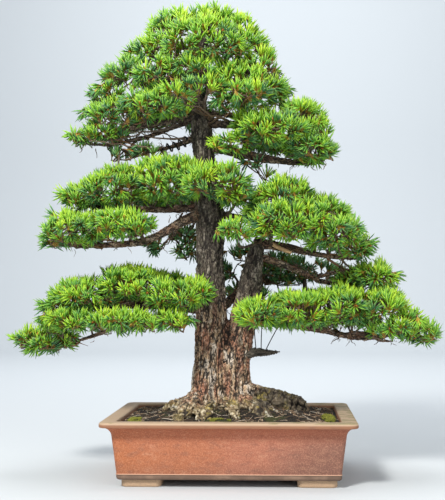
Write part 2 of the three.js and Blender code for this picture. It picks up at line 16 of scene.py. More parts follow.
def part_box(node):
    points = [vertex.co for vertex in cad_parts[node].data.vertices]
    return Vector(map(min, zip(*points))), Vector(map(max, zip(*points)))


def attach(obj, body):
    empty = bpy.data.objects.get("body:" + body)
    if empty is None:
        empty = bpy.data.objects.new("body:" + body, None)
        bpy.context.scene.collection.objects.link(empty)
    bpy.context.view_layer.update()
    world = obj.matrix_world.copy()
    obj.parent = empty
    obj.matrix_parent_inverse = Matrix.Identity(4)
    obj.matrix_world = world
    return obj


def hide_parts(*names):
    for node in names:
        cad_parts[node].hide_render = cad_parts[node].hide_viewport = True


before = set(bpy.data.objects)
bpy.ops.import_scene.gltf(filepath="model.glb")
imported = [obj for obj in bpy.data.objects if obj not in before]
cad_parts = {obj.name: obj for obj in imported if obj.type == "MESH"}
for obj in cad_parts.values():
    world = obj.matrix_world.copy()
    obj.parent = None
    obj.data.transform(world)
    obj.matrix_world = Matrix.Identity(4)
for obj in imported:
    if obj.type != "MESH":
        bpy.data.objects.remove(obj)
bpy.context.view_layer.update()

MM = 0.001
BODY = "root"
BINS = 16  # colour strips that needles, buds and twigs take their tint from
LAST_NEEDLE, BUD, SHOOT, THIN_TWIG, THICK_TWIG = 11, 12, 13, 14, 15  # strips of one kind of piece
UP = np.array([0.0, 0.0, 1.0])
Array, Chance = np.ndarray, np.random.Generator
Mesh, Object, Material = bpy.types.Mesh, bpy.types.Object, bpy.types.Material
Colour = tuple[float, float, float]
Number = Union["Value", float]
Tone = Union["Value", Colour]

log = logging.getLogger("bonsai")
noise.seed_set(7)  # vector noise takes its offset from the clock unless it is seeded


# ---- Shaders


class Value:
    """A shader value that is added, scaled and compared like a number."""

    def __init__(self, paint: "Paint", socket: bpy.types.NodeSocket) -> None:
        """Wraps an output socket of a paint's node."""
        self.paint = paint
        self.socket = socket

    def _math(self, operation: str, *values: Number) -> "Value":
        """One Math node, with the values of its sockets in order."""
        return self.paint.node("ShaderNodeMath", {"operation": operation}, dict(enumerate(values)))

    def __add__(self, other: Number) -> "Value":
        """Sum."""
        return self._math("ADD", self, other)

    def __radd__(self, other: float) -> "Value":
        """Sum with the number first."""
        return self._math("ADD", other, self)

    def __sub__(self, other: Number) -> "Value":
        """Difference."""
        return self._math("SUBTRACT", self, other)

    def __rsub__(self, other: float) -> "Value":
        """Difference with the number first."""
        return self._math("SUBTRACT", other, self)

    def __mul__(self, other: Number) -> "Value":
        """Product."""
        return self._math("MULTIPLY", self, other)

    def __rmul__(self, other: float) -> "Value":
        """Product with the number first."""
        return self._math("MULTIPLY", other, self)

    def __abs__(self) -> "Value":
        """Size without its sign."""
        return self._math("ABSOLUTE", self)

    def above(self, low: float, high: float) -> "Value":
        """Rises smoothly from 0 at low to 1 at high."""
        limits = {"Value": self, "From Min": low, "From Max": high}
        return self.paint.node("ShaderNodeMapRange", {"interpolation_type": "SMOOTHSTEP"}, limits)


class Paint:
    """One procedural material, built node by node."""

    def __init__(self, name: str, **fixed: float) -> None:
        """Starts a material.

        Args:
            name: the material's name.
            fixed: values of the shader's own sockets, with _ for a space.
        """
        self.material = bpy.data.materials.new(name)
        self.material.use_nodes = True
        self.tree = self.material.node_tree
        self.shader = self.tree.nodes["Principled BSDF"]
        for key, value in fixed.items():
            self.shader.inputs[key.replace("_", " ")].default_value = value

    def node(self, kind: str, settings: dict, inputs: dict, output: Union[int, str] = 0) -> Value:
        """Adds a node of any kind.

        Args:
            kind: the node's type.
            settings: its properties, set first; "stops" are a ramp's places and colours.
            inputs: values or links by socket name, identifier or index.
            output: the socket to return.

        Returns:
            The chosen output.
        """
        made = self.tree.nodes.new(kind)
        for key, value in settings.items():
            if key == "stops":
                self._set_stops(made.color_ramp, value)
            else:
                setattr(made, key, value)
        for key, value in inputs.items():
            socket = self._socket(made.inputs, key)
            if isinstance(value, Value):
                self.tree.links.new(value.socket, socket)
            elif isinstance(value, tuple) and socket.type == "RGBA":
                socket.default_value = (*value, 1.0)
            else:
                socket.default_value = value
        return Value(self, self._socket(made.outputs, output))

    @staticmethod
    def _set_stops(ramp: bpy.types.ColorRamp, stops: Sequence[tuple[float, Colour]]) -> None:
        """Gives a ramp its places and colours.

        Args:
            ramp: the ramp.
            stops: its places and colours, in order.
        """
        while len(ramp.elements) < len(stops):
            ramp.elements.new(0.5)
        for element, (place, colour) in zip(ramp.elements, stops):
            element.position = place
            element.color = (*colour, 1.0)

    @staticmethod
    def _socket(sockets: Iterable[bpy.types.NodeSocket], key: Union[int, str]) -> bpy.types.NodeSocket:
        """Finds a socket.

        Args:
            sockets: the node's inputs or outputs.
            key: its index, identifier or name.

        Returns:
            The socket.
        """
        if isinstance(key, int):
            return sockets[key]
        named = {s.name: s for s in sockets if s.enabled}
        return {**named, **{s.identifier: s for s in sockets}}[key]

    def place(self) -> Value:
        """Where on the object the colour is worked out."""
        return self.node("ShaderNodeTexCoord", {}, {}, "Object")

    def axis(self, letter: str, vector: Optional[Value] = None) -> Value:
        """One part of a vector, or of the place in metres."""
        return self.node("ShaderNodeSeparateXYZ", {}, {0: vector or self.place()}, letter)

    def attribute(self, name: str) -> Value:
        """A value stored on the mesh."""
        return self.node("ShaderNodeAttribute", {"attribute_name": name}, {}, "Fac")

    def upward(self) -> Value:
        """How far the surface faces up, from -1 to 1."""
        return self.axis("Z", self.node("ShaderNodeNewGeometry", {}, {}, "Normal"))

    def noise(self, scale: float, detail: float = 4.0, stretch: Optional[Colour] = None) -> Value:
        """Cloudy noise from 0 to 1.

        Args:
            scale: clouds per metre.
            detail: octaves of finer clouds.
            stretch: scale of each axis before the noise.

        Returns:
            The noise value.
        """
        where = self.place()
        if stretch:
            where = self.node("ShaderNodeVectorMath", {"operation": "MULTIPLY"}, {0: where, 1: stretch})
        return self.node("ShaderNodeTexNoise", {}, {"Vector": where, "Scale": scale, "Detail": detail})

    def crack(self, scale: float, width: float, stretch: Optional[Colour] = None) -> Value:
        """Thin winding lines, 1 on a line and 0 beside it, where a noise passes its middle."""
        return 1 - abs(self.noise(scale, 3, stretch) - 0.5).above(width * 0.3, width)

    def mix(self, share: Number, first: Tone, second: Tone) -> Value:
        """Blends two colours."""
        inputs = {"Factor_Float": share, "A_Color": first, "B_Color": second}
        return self.node("ShaderNodeMix", {"data_type": "RGBA"}, inputs, "Result_Color")

    def coats(self, colour: Tone, *coats: tuple[Number, Tone]) -> Tone:
        """Lays coats over a colour.

        Args:
            colour: the ground.
            coats: the share and colour of each coat, in order.

        Returns:
            The colour under all its coats.
        """
        for share, coat in coats:
            colour = self.mix(share, colour, coat)
        return colour

    def ramp(self, value: Value, stops: Sequence[tuple[float, Colour]]) -> Value:
        """Colour picked by a value."""
        return self.node("ShaderNodeValToRGB", {"stops": stops}, {0: value}, "Color")

    def set(self, socket: str, value: Value) -> None:
        """Links a value to one of the shader's sockets."""
        self.tree.links.new(value.socket, self.shader.inputs[socket])

    def bump(self, height: Value, depth: float) -> None:
        """Fine relief from a height value, with its depth in metres."""
        self.set("Normal", self.node("ShaderNodeBump", {}, {"Height": height, "Distance": depth}, "Normal"))


@dataclass(frozen=True)
class FiredClay:
    """Unglazed stoneware: orange to pink body, stained lip, brown band, pale feet. Shadow under the lip,
    shade low on the body and on its lower right, and a highlight along the lip's front edge are painted.
    """

    orange: Colour = (0.45, 0.138, 0.046)
    pink: Colour = (0.42, 0.152, 0.092)
    # dark clay for the mottling, also used to paint shade on the body
    dark_clay_and_shade: Colour = (0.165, 0.082, 0.060)
    # painted shadow colour for the body under the overhanging lip
    lip_shadow: Colour = (0.40, 0.100, 0.040)
    dark_grain: Colour = (0.12, 0.045, 0.028)
    light_grain: Colour = (0.62, 0.33, 0.20)
    lip_top: Colour = (0.44, 0.31, 0.205)
    lip_stain: Colour = (0.22, 0.19, 0.085)
    lip_front: Colour = (0.30, 0.135, 0.070)
    # pale clay for the grain on the lip's top, also used as a painted highlight
    lip_grain_and_highlight: Colour = (0.50, 0.36, 0.24)
    band: Colour = (0.150, 0.092, 0.062)
    band_worn: Colour = (0.30, 0.19, 0.13)
    foot: Colour = (0.46, 0.31, 0.19)
    foot_worn: Colour = (0.36, 0.24, 0.16)
    edge: Colour = (0.56, 0.33, 0.22)
    band_low: float = 15 * MM
    band_high: float = 27 * MM
    lip_low: float = 119 * MM
    lip_high: float = 130 * MM

    def material(self) -> Material:
        """Mixes the clay.

        Returns:
            Its material.
        """
        paint = Paint("fired_clay", Roughness=0.72)
        clouds, stain = paint.noise(9, 3), paint.noise(30, 6)
        mottle, speckle = paint.noise(70, 5, (0.6, 0.6, 1.4)), paint.noise(460, 3)
        height, across = paint.axis("Z"), paint.axis("X")
        pale = speckle.above(0.50, 0.66)
        body = paint.coats(
            self.orange,
            ((across + clouds * 0.35).above(-0.10, 0.36), self.pink),
            # painted shade: darker towards the lower right, the side away from the lamp
            ((across * 1.6 - height * 1.2 + clouds * 0.2).above(0.13, 0.40) * 0.75, self.dark_clay_and_shade),
            (mottle.above(0.50, 0.72) * 0.35, self.dark_clay_and_shade),
            ((1 - mottle).above(0.52, 0.72) * 0.25, self.light_grain),
            # painted shadow on the body just under the lip
            (height.above(0.080, 0.112) * 0.55, self.lip_shadow),
            # painted shade: darker low on the body, under the flared wall
            ((1 - height.above(0.027, 0.060)) * 0.28, self.dark_clay_and_shade),
            (pale * 0.30, self.light_grain),
            ((1 - speckle).above(0.50, 0.66) * 0.34, self.dark_grain),
        )
        top = paint.coats(
            self.lip_top,
            ((stain + across * 0.45).above(0.50, 0.66) * 0.75, self.lip_stain),
            (pale * 0.5, self.lip_grain_and_highlight),
        )
        front = paint.coats(
            self.lip_front,
            (mottle.above(0.45, 0.70) * 0.3, self.dark_clay_and_shade),
            # painted highlight along the top edge of the lip's front
            (height.above(self.lip_high - 6.0 * MM, self.lip_high - 0.8 * MM), self.lip_grain_and_highlight),
        )
        rim_line = height.above(self.band_high - 1.8 * MM, self.band_high - 0.6 * MM)
        rim_line = rim_line * (1 - height.above(self.band_high + 0.1 * MM, self.band_high + 0.8 * MM))
        band = paint.mix(stain.above(0.42, 0.66) * 0.7, self.band, self.band_worn)
        foot = paint.mix(speckle.above(0.45, 0.66) * 0.6, self.foot, self.foot_worn)
        lip = paint.mix(paint.upward().above(0.5, 0.9), front, top)
        paint.set("Base Color", paint.coats(
            body,
            (height.above(self.lip_low, self.lip_low + 1.5 * MM), lip),
            (1 - height.above(self.band_high - 1.2 * MM, self.band_high), band),
            (rim_line * 0.8, self.edge),
            (1 - height.above(self.band_low - 0.6 * MM, self.band_low), foot),
        ))
        paint.set("Roughness", 0.60 + stain * 0.28)
        paint.bump(speckle + mottle * 0.8 + paint.noise(1300, 2) * 0.5, 0.6 * MM)
        return paint.material


@dataclass(frozen=True)
class Bark:
    """Flaky pine bark: warm strips, dark fissures, pale flakes, greyer and darker with height. The fissure
    colour also paints shade into the cracks and hollows, and the darkening with height is partly painted
    shade under the crown.
    """

    name: str
    warm: Colour
    tan: Colour
    grey: Colour
    pale: Colour
    furrow_and_shade: Colour
    stretch: tuple[float, float, float] = (1.0, 1.0, 0.22)
    grey_from: float = 0.29
    grey_to: float = 0.40
    roots: bool = False

    def material(self) -> Material:
        """Mixes the bark, which reads the plate and shade stored on the mesh: the shade is a random tone,
        and the plate's hollows get painted shade.

        Returns:
            Its material.
        """
        paint = Paint(self.name, Roughness=0.9)
        shade, plate = paint.attribute("shade"), paint.attribute("plate")
        streak, flake = paint.noise(150, 5, self.stretch), paint.noise(110, 5, (1, 1, 0.5))
        fine, cracks = paint.noise(420, 4, (1, 1, 0.4)), paint.crack(120, 0.034, self.stretch)
        # greyer higher up; the dark grey is partly painted shade under the crown
        grey_and_shade_with_height = (paint.axis("Z") + flake * 0.16 - 0.08).above(self.grey_from, self.grey_to)
        light = (flake * 0.55 + shade * 0.45).above(0.55, 0.64)
        colour = paint.coats(
            self.warm,
            ((shade * 0.6 + streak * 0.4).above(0.40, 0.58), self.tan),
            (grey_and_shade_with_height * 0.92, self.grey),
            ((1 - flake).above(0.52, 0.64) * 0.55, self.grey),
            (light * (1 - grey_and_shade_with_height * 0.72) * 0.85, self.pale),
            (fine.above(0.54, 0.68) * (1 - grey_and_shade_with_height * 0.6) * 0.5, self.pale),
            # dark fine speckles and crack lines: dark furrow colour, partly painted shade in the cracks
            ((1 - fine).above(0.50, 0.62) * 0.65, self.furrow_and_shade),
            (cracks * 0.8, self.furrow_and_shade),
        )
        if self.roots:
            colour = self._roots(paint, colour)
        hollow = 1 - plate
        # painted shade: the hollows of the relief are darkened to the furrow colour
        paint.set("Base Color", paint.mix(hollow.above(0.24, 0.72) * 0.94, colour, self.furrow_and_shade))
        paint.bump(fine * 0.5 + flake - cracks * 0.8, 1.6 * MM)
        return paint.material

    @staticmethod
    def _roots(paint: Paint, colour: Value) -> Value:
        """Turns the low roots tan and grey, with lichen and yellow moss.

        Args:
            paint: the material being built.
            colour: the bark's colour so far.

        Returns:
            The colour with its roots.
        """
        across = paint.axis("X")
        ridge = across.above(0.055, 0.080)
        low = 1 - (paint.axis("Z") + paint.noise(50, 3) * 0.03 - ridge * 0.035).above(0.158, 0.186)
        skin = paint.ramp(paint.noise(150, 5), (
            (0.32, (0.040, 0.028, 0.017)), (0.43, (0.150, 0.105, 0.055)),
            (0.53, (0.34, 0.265, 0.145)), (0.64, (0.68, 0.59, 0.42)),
        ))
        skin = paint.mix(ridge * 0.80, skin, (0.075, 0.062, 0.045))
        damp = (paint.noise(42, 4) + paint.upward() * 0.08).above(0.55, 0.64)
        moss = paint.mix(paint.noise(130, 4).above(0.42, 0.58), (0.07, 0.07, 0.012), (0.40, 0.30, 0.06))
        middle = across.above(-0.05, -0.01) * (1 - across.above(0.07, 0.10))
        front = 1 - paint.axis("Y").above(-0.06, -0.04)
        pale = across.above(0.08, 0.09) * (1 - across.above(0.125, 0.14))
        lichen = (paint.noise(80, 4) + pale * front * 0.12 - ridge * 0.06).above(0.62, 0.68)
        return paint.coats(
            colour,
            (low * 0.95, skin),
            (low * damp * (0.35 + middle * 0.55), moss),
            (low * lichen * 0.8, (0.66, 0.62, 0.52)),
        )


@dataclass(frozen=True)
class Earth:
    """Dark damp soil with lighter crumbs and green film."""

    name: str
    dark: Colour
    crumb: Colour
    green: Colour
    chaff: Colour = (0.26, 0.19, 0.12)

    def material(self) -> Material:
        """Mixes the soil.

        Returns:
            Its material.
        """
        paint = Paint(self.name, Roughness=0.95)
        grain = paint.noise(360, 5)
        paint.set("Base Color", paint.coats(
            self.dark,
            (grain.above(0.50, 0.62), self.crumb),
            (paint.noise(600, 3).above(0.60, 0.66) * 0.3, self.chaff),
            (paint.noise(16, 4).above(0.54, 0.66) * 0.75, self.green),
        ))
        paint.bump(grain, 1.5 * MM)
        return paint.material


@dataclass(frozen=True)
class Strips:
    """Colour picked by a tint strip and by the place along a blade, for thousands of fine pieces."""

    name: str
    stops: tuple[tuple[float, Colour], ...]
    tip: Colour
    tip_share: float
    sheath: Colour
    sheath_end: float
    blades: float
    roughness: float = 0.5

    def material(self) -> Material:
        """Mixes the colours, which read only the tint and along values stored on the mesh.

        Returns:
            Their material.
        """
        paint = Paint(self.name, Roughness=self.roughness)
        tint, along = paint.attribute("tint"), paint.attribute("along")
        blade = 1 - tint.above(self.blades - 0.001, self.blades + 0.001)
        base = (1 - along.above(self.sheath_end, self.sheath_end + 0.12)) * blade
        paint.set("Base Color", paint.coats(
            paint.ramp(tint, self.stops),
            (blade * along.above(0.35, 1.0) * self.tip_share, self.tip),
            (base * 0.8, self.sheath),
        ))
        return paint.material


@dataclass(frozen=True)
class Metal:
    """Weathered wire."""

    name: str
    base: Colour
    worn: Colour
    metallic: float
    roughness: float

    def material(self) -> Material:
        """Mixes the wire's finish.

        Returns:
            Its material.
        """
        paint = Paint(self.name, Metallic=self.metallic, Roughness=self.roughness)
        wear = paint.noise(240, 4)
        paint.set("Base Color", paint.mix(wear.above(0.45, 0.7), self.base, self.worn))
        paint.set("Roughness", self.roughness + wear * 0.25)
        return paint.material


@dataclass(frozen=True)
class BareWood:
    """Weathered or freshly cut wood without bark."""

    name: str
    base: Colour
    streak: Colour

    def material(self) -> Material:
        """Mixes the wood.

        Returns:
            Its material.
        """
        paint = Paint(self.name, Roughness=0.85)
        grain = paint.noise(160, 5, (0.25, 1, 1))
        paint.set("Base Color", paint.mix(grain.above(0.42, 0.62), self.base, self.streak))
        paint.bump(grain, 0.8 * MM)
        return paint.material


TWIG_STOPS = (
    (0.76, (0.560, 0.190, 0.030)), (0.80, (0.460, 0.150, 0.030)), (0.84, (0.220, 0.110, 0.050)),
    (0.90, (0.140, 0.090, 0.055)), (1.00, (0.080, 0.058, 0.042)),
)
NEEDLE_STRIPS = Strips(
    "pine_needles",
    stops=(
        (0.00, (0.030, 0.112, 0.064)), (0.16, (0.062, 0.225, 0.080)), (0.34, (0.140, 0.385, 0.044)),
        (0.54, (0.265, 0.520, 0.022)), (0.72, (0.460, 0.660, 0.034)), *TWIG_STOPS,
    ),
    tip=(0.54, 0.66, 0.05), tip_share=0.32, sheath=(0.52, 0.27, 0.045), sheath_end=0.16, blades=0.75,
)
SHADE_STRIPS = replace(
    NEEDLE_STRIPS,
    name="shaded_needles",
    stops=(
        (0.00, (0.034, 0.115, 0.068)), (0.30, (0.105, 0.290, 0.105)), (0.72, (0.300, 0.520, 0.090)),
        *TWIG_STOPS,
    ),
    tip=(0.32, 0.52, 0.12),
)
MOSS_STRIPS = Strips(
    "moss_blades",
    stops=((0.0, (0.035, 0.046, 0.008)), (0.5, (0.120, 0.145, 0.014)), (1.0, (0.32, 0.31, 0.035))),
    tip=(0.42, 0.40, 0.05), tip_share=0.45, sheath=(0.03, 0.035, 0.008), sheath_end=0.1, blades=2.0,
    roughness=0.8,
)
LITTER_STRIPS = Strips(
    "litter",
    stops=(
        (0.0, (0.045, 0.030, 0.020)), (0.3, (0.085, 0.050, 0.028)), (0.6, (0.26, 0.155, 0.085)),
        (0.85, (0.50, 0.38, 0.26)), (1.0, (0.60, 0.54, 0.44)),
    ),
    tip=(0.3, 0.2, 0.1), tip_share=0.0, sheath=(0.3, 0.2, 0.1), sheath_end=-1.0, blades=2.0, roughness=0.85,
)
TRUNK_BARK = Bark(
    "trunk_bark", warm=(0.41, 0.185, 0.105), tan=(0.52, 0.35, 0.205), grey=(0.072, 0.068, 0.052),
    pale=(0.74, 0.64, 0.53), furrow_and_shade=(0.020, 0.014, 0.011), roots=True,
)
BRANCH_BARK = Bark(
    "branch_bark", warm=(0.22, 0.105, 0.060), tan=(0.36, 0.235, 0.145), grey=(0.105, 0.080, 0.060),
    pale=(0.50, 0.40, 0.30), furrow_and_shade=(0.025, 0.018, 0.014), stretch=(0.45, 1.0, 1.0),
    grey_from=0.30, grey_to=0.95,
)
SOIL_EARTH = Earth("soil_earth", (0.009, 0.006, 0.004), (0.018, 0.012, 0.008), (0.046, 0.054, 0.011))
GRIT_EARTH = Earth("pumice_grit", (0.20, 0.17, 0.13), (0.45, 0.41, 0.34), (0.30, 0.26, 0.20))
MOSS_EARTH = Earth("moss_ground", (0.020, 0.026, 0.006), (0.050, 0.050, 0.012), (0.040, 0.048, 0.010))
DEAD_WOOD = BareWood("dead_wood", (0.11, 0.092, 0.070), (0.022, 0.019, 0.015))
CUT_WOOD = BareWood("cut_wood", (0.74, 0.48, 0.25), (0.48, 0.28, 0.13))
COPPER = Metal("aged_copper", (0.20, 0.10, 0.055), (0.10, 0.06, 0.045), 0.9, 0.45)
BLACK_WIRE = Metal("black_wire", (0.012, 0.012, 0.013), (0.03, 0.028, 0.027), 0.5, 0.45)
GREY_WIRE = Metal("grey_wire", (0.040, 0.035, 0.030), (0.020, 0.018, 0.016), 0.5, 0.5)
MESH_PLASTIC = Metal("mesh_plastic", (0.02, 0.022, 0.02), (0.035, 0.036, 0.034), 0.0, 0.6)


# ---- Mesh tools


def unit(vectors: Array) -> Array:
    """Vectors scaled to length 1."""
    return vectors / np.maximum(np.linalg.norm(vectors, axis=-1, keepdims=True), 1e-9)


def as_object(name: str, mesh: Mesh, material: Material) -> Object:
    """Puts a finished mesh in the scene.

    Args:
        name: the piece's name.
        mesh: its mesh, in the frame's own place.
        material: its finish.

    Returns:
        The piece, riding on the one body.
    """
    made = linked(mesh, name)
    mesh.materials.clear()
    mesh.materials.append(material)
    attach(made, BODY)
    return made


def linked(data: Optional[bpy.types.ID], name: str) -> Object:
    """Links new object data to the scene.

    Args:
        data: a mesh, lamp or camera.
        name: the object's name.

    Returns:
        The object.
    """
    made = bpy.data.objects.new(name, data)
    bpy.context.scene.collection.objects.link(made)
    return made


def welded_copy(node: str) -> Mesh:
    """Copies a CAD node's mesh and joins its split corners.

    Args:
        node: the CAD node.

    Returns:
        The copy.
    """
    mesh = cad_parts[node].data.copy()
    work = bmesh.new()
    work.from_mesh(mesh)
    bmesh.ops.remove_doubles(work, verts=work.verts, dist=0.02 * MM)
    work.to_mesh(mesh)
    work.free()
    return mesh


def remeshed(mesh: Mesh, voxel: float, smoothing: int) -> Mesh:
    """Lays even quads over a closed mesh and smooths them.

    Args:
        mesh: the closed mesh to cover.
        voxel: size of the quads in metres.
        smoothing: rounds of smoothing.

    Returns:
        The new mesh.
    """
    holder = linked(mesh, "remesh_holder")
    cover = holder.modifiers.new("cover", "REMESH")
    cover.mode = "VOXEL"
    cover.voxel_size = voxel
    smooth = holder.modifiers.new("smooth", "SMOOTH")
    smooth.factor = 0.5
    smooth.iterations = smoothing
    made = evaluated(holder)
    made.shade_smooth()
    return made


def evaluated(holder: Object) -> Mesh:
    """Takes an object's mesh after its modifiers, and clears the object away.

    Args:
        holder: the object.

    Returns:
        The mesh.
    """
    graph = bpy.context.evaluated_depsgraph_get()
    made = bpy.data.meshes.new_from_object(holder.evaluated_get(graph))
    bpy.data.objects.remove(holder)
    return made


def rows_of(values: bpy.types.bpy_prop_collection, name: str) -> Array:
    """Reads one vector for each entry of a collection.

    Args:
        values: the collection.
        name: the vector's name.

    Returns:
        The vectors as rows.
    """
    flat = np.empty(len(values) * 3, np.float32)
    values.foreach_get(name, flat)
    return flat.reshape(-1, 3).astype(float)


def points_of(mesh: Mesh) -> Array:
    """A mesh's points as rows."""
    return rows_of(mesh.vertices, "co")


def normals_of(mesh: Mesh) -> Array:
    """A mesh's point normals as rows."""
    return rows_of(mesh.vertex_normals, "vector")


def move_points(mesh: Mesh, points: Array) -> None:
    """Puts a mesh's points at new places."""
    mesh.vertices.foreach_set("co", points.astype(np.float32).ravel())
    mesh.update()


def store(mesh: Mesh, name: str, values: Array) -> None:
    """Stores one number per point on a mesh."""
    layer = mesh.attributes.new(name, "FLOAT", "POINT")
    layer.data.foreach_set("value", values.astype(np.float32))


def tree_of(meshes: Iterable[Mesh]) -> BVHTree:
    """Makes a search tree over some surfaces.

    Args:
        meshes: the surfaces.

    Returns:
        The tree.
    """
    points: list[Vector] = []
    faces: list[tuple[int, ...]] = []
    for mesh in meshes:
        start = len(points)
        points += [v.co.copy() for v in mesh.vertices]
        faces += [tuple(start + i for i in p.vertices) for p in mesh.polygons]
    return BVHTree.FromPolygons(points, faces)


def tree_of_nodes(nodes: Iterable[str]) -> BVHTree:
    """Search tree over the surfaces of some CAD nodes."""
    return tree_of(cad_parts[node].data for node in nodes)


@dataclass
class Blades:
    """Thousands of fine tapered pieces gathered into one closed-piece mesh with colour strips."""

    points: list[Array] = field(default_factory=list)
    corners: list[Array] = field(default_factory=list)
    sizes: list[Array] = field(default_factory=list)
    flats: list[Array] = field(default_factory=list)
    tints: list[Array] = field(default_factory=list)
    alongs: list[Array] = field(default_factory=list)
    count: int = 0

    def add(self, lines: Array, widths: Array, bins: Array, sides: int = 3) -> None:
        """Adds a batch of tapered pieces that all have the same number of rings.

        Args:
            lines: centre points, shaped (pieces, rings, 3).
            widths: radius at each ring, shaped (pieces, rings); a last one of 0 ends in a point.
            bins: colour strip of each piece.
            sides: sides of the section.
        """
        pieces, rings, _ = lines.shape
        if not pieces:
            return
        way = unit(lines[:, -1] - lines[:, 0])
        helper = np.where(np.abs(way[:, 2:3]) < 0.9, UP, np.array([1.0, 0.0, 0.0]))
        across = unit(np.cross(way, helper))
        over = np.cross(way, across)
        turn = 2 * np.pi * np.arange(sides) / sides
        spin = across[:, None] * np.cos(turn)[None, :, None] + over[:, None] * np.sin(turn)[None, :, None]
        pointed = bool(np.all(widths[:, -1] == 0))
        full = rings - 1 if pointed else rings
        body = lines[:, :full, None, :] + widths[:, :full, None, None] * spin[:, None]
        points = body.reshape(pieces, full * sides, 3)
        along = np.repeat(np.arange(full) / (rings - 1), sides)
        if pointed:
            points = np.concatenate([points, lines[:, -1:, :]], axis=1)
            along = np.append(along, 1.0)
        each = points.shape[1]
        corner, size, flat = self._pattern(full, rings, sides, pointed)
        starts = self.count + each * np.arange(pieces)
        left = (np.asarray(bins)[:, None] + 0.1 + 0.8 * flat[None, :, 0]) / BINS
        height = np.broadcast_to(0.02 + 0.96 * flat[None, :, 1], left.shape)
        self.points.append(points.reshape(-1, 3))
        self.corners.append((starts[:, None] + corner[None, :]).ravel())
        self.sizes.append(np.tile(size, pieces))
        self.flats.append(np.stack([left, height], axis=-1).reshape(-1, 2))
        self.tints.append(np.repeat((np.asarray(bins) + 0.5) / BINS, each))
        self.alongs.append(np.tile(along, pieces))
        self.count += each * pieces

    @staticmethod
    def _pattern(full: int, rings: int, sides: int, pointed: bool) -> tuple[Array, Array, Array]:
        """Corner order, face sizes and flat places of one piece.

        Args:
            full: rings with a whole section.
            rings: all rings, the point among them.
            sides: sides of the section.
            pointed: whether the piece ends in a point.

        Returns:
            The corners, the faces' sizes and each corner's place on the colour strip.
        """
        corner: list[int] = []
        flat: list[tuple[float, float]] = []
        size = [4] * ((full - 1) * sides)
        last = (full - 1) * sides
        around = range(sides)
        for ring in range(full - 1):
            low, high = ring / (rings - 1), (ring + 1) / (rings - 1)
            for side in around:
                after = (side + 1) % sides
                corner += [ring * sides + side, ring * sides + after]
                corner += [(ring + 1) * sides + after, (ring + 1) * sides + side]
                u, v = side / sides, (side + 1) / sides
                flat += [(u, low), (v, low), (v, high), (u, high)]
        if pointed:
            low = (full - 1) / (rings - 1)
            for side in around:
                corner += [last + side, last + (side + 1) % sides, full * sides]
                flat += [(side / sides, low), ((side + 1) / sides, low), ((side + 0.5) / sides, 1.0)]
            size += [3] * sides
        else:
            corner += [last + side for side in around]
            flat += [(side / sides, 1.0 - 0.02 * (side % 2)) for side in around]
            size.append(sides)
        corner += reversed(around)
        flat += [(side / sides, 0.02 * (side % 2)) for side in around]
        size.append(sides)
        return np.array(corner), np.array(size), np.array(flat)

    def mesh(self, name: str) -> Mesh:
        """Joins all pieces.

        Args:
            name: the mesh's name.

        Returns:
            One mesh, with its colour strips.
        """
        corners, sizes = np.concatenate(self.corners), np.concatenate(self.sizes)
        made = bpy.data.meshes.new(name)
        made.vertices.add(self.count)
        made.vertices.foreach_set("co", np.concatenate(self.points).astype(np.float32).ravel())
        made.loops.add(len(corners))
        made.loops.foreach_set("vertex_index", corners.astype(np.int32))
        made.polygons.add(len(sizes))
        made.polygons.foreach_set("loop_start", (np.cumsum(sizes) - sizes).astype(np.int32))
        made.update(calc_edges=True)
        flats = np.concatenate(self.flats).astype(np.float32).ravel()
        made.uv_layers.new(name="OFBake").data.foreach_set("uv", flats)
        store(made, "tint", np.concatenate(self.tints))
        store(made, "along", np.concatenate(self.alongs))
        made.shade_smooth()
        return made


# ---- Pot


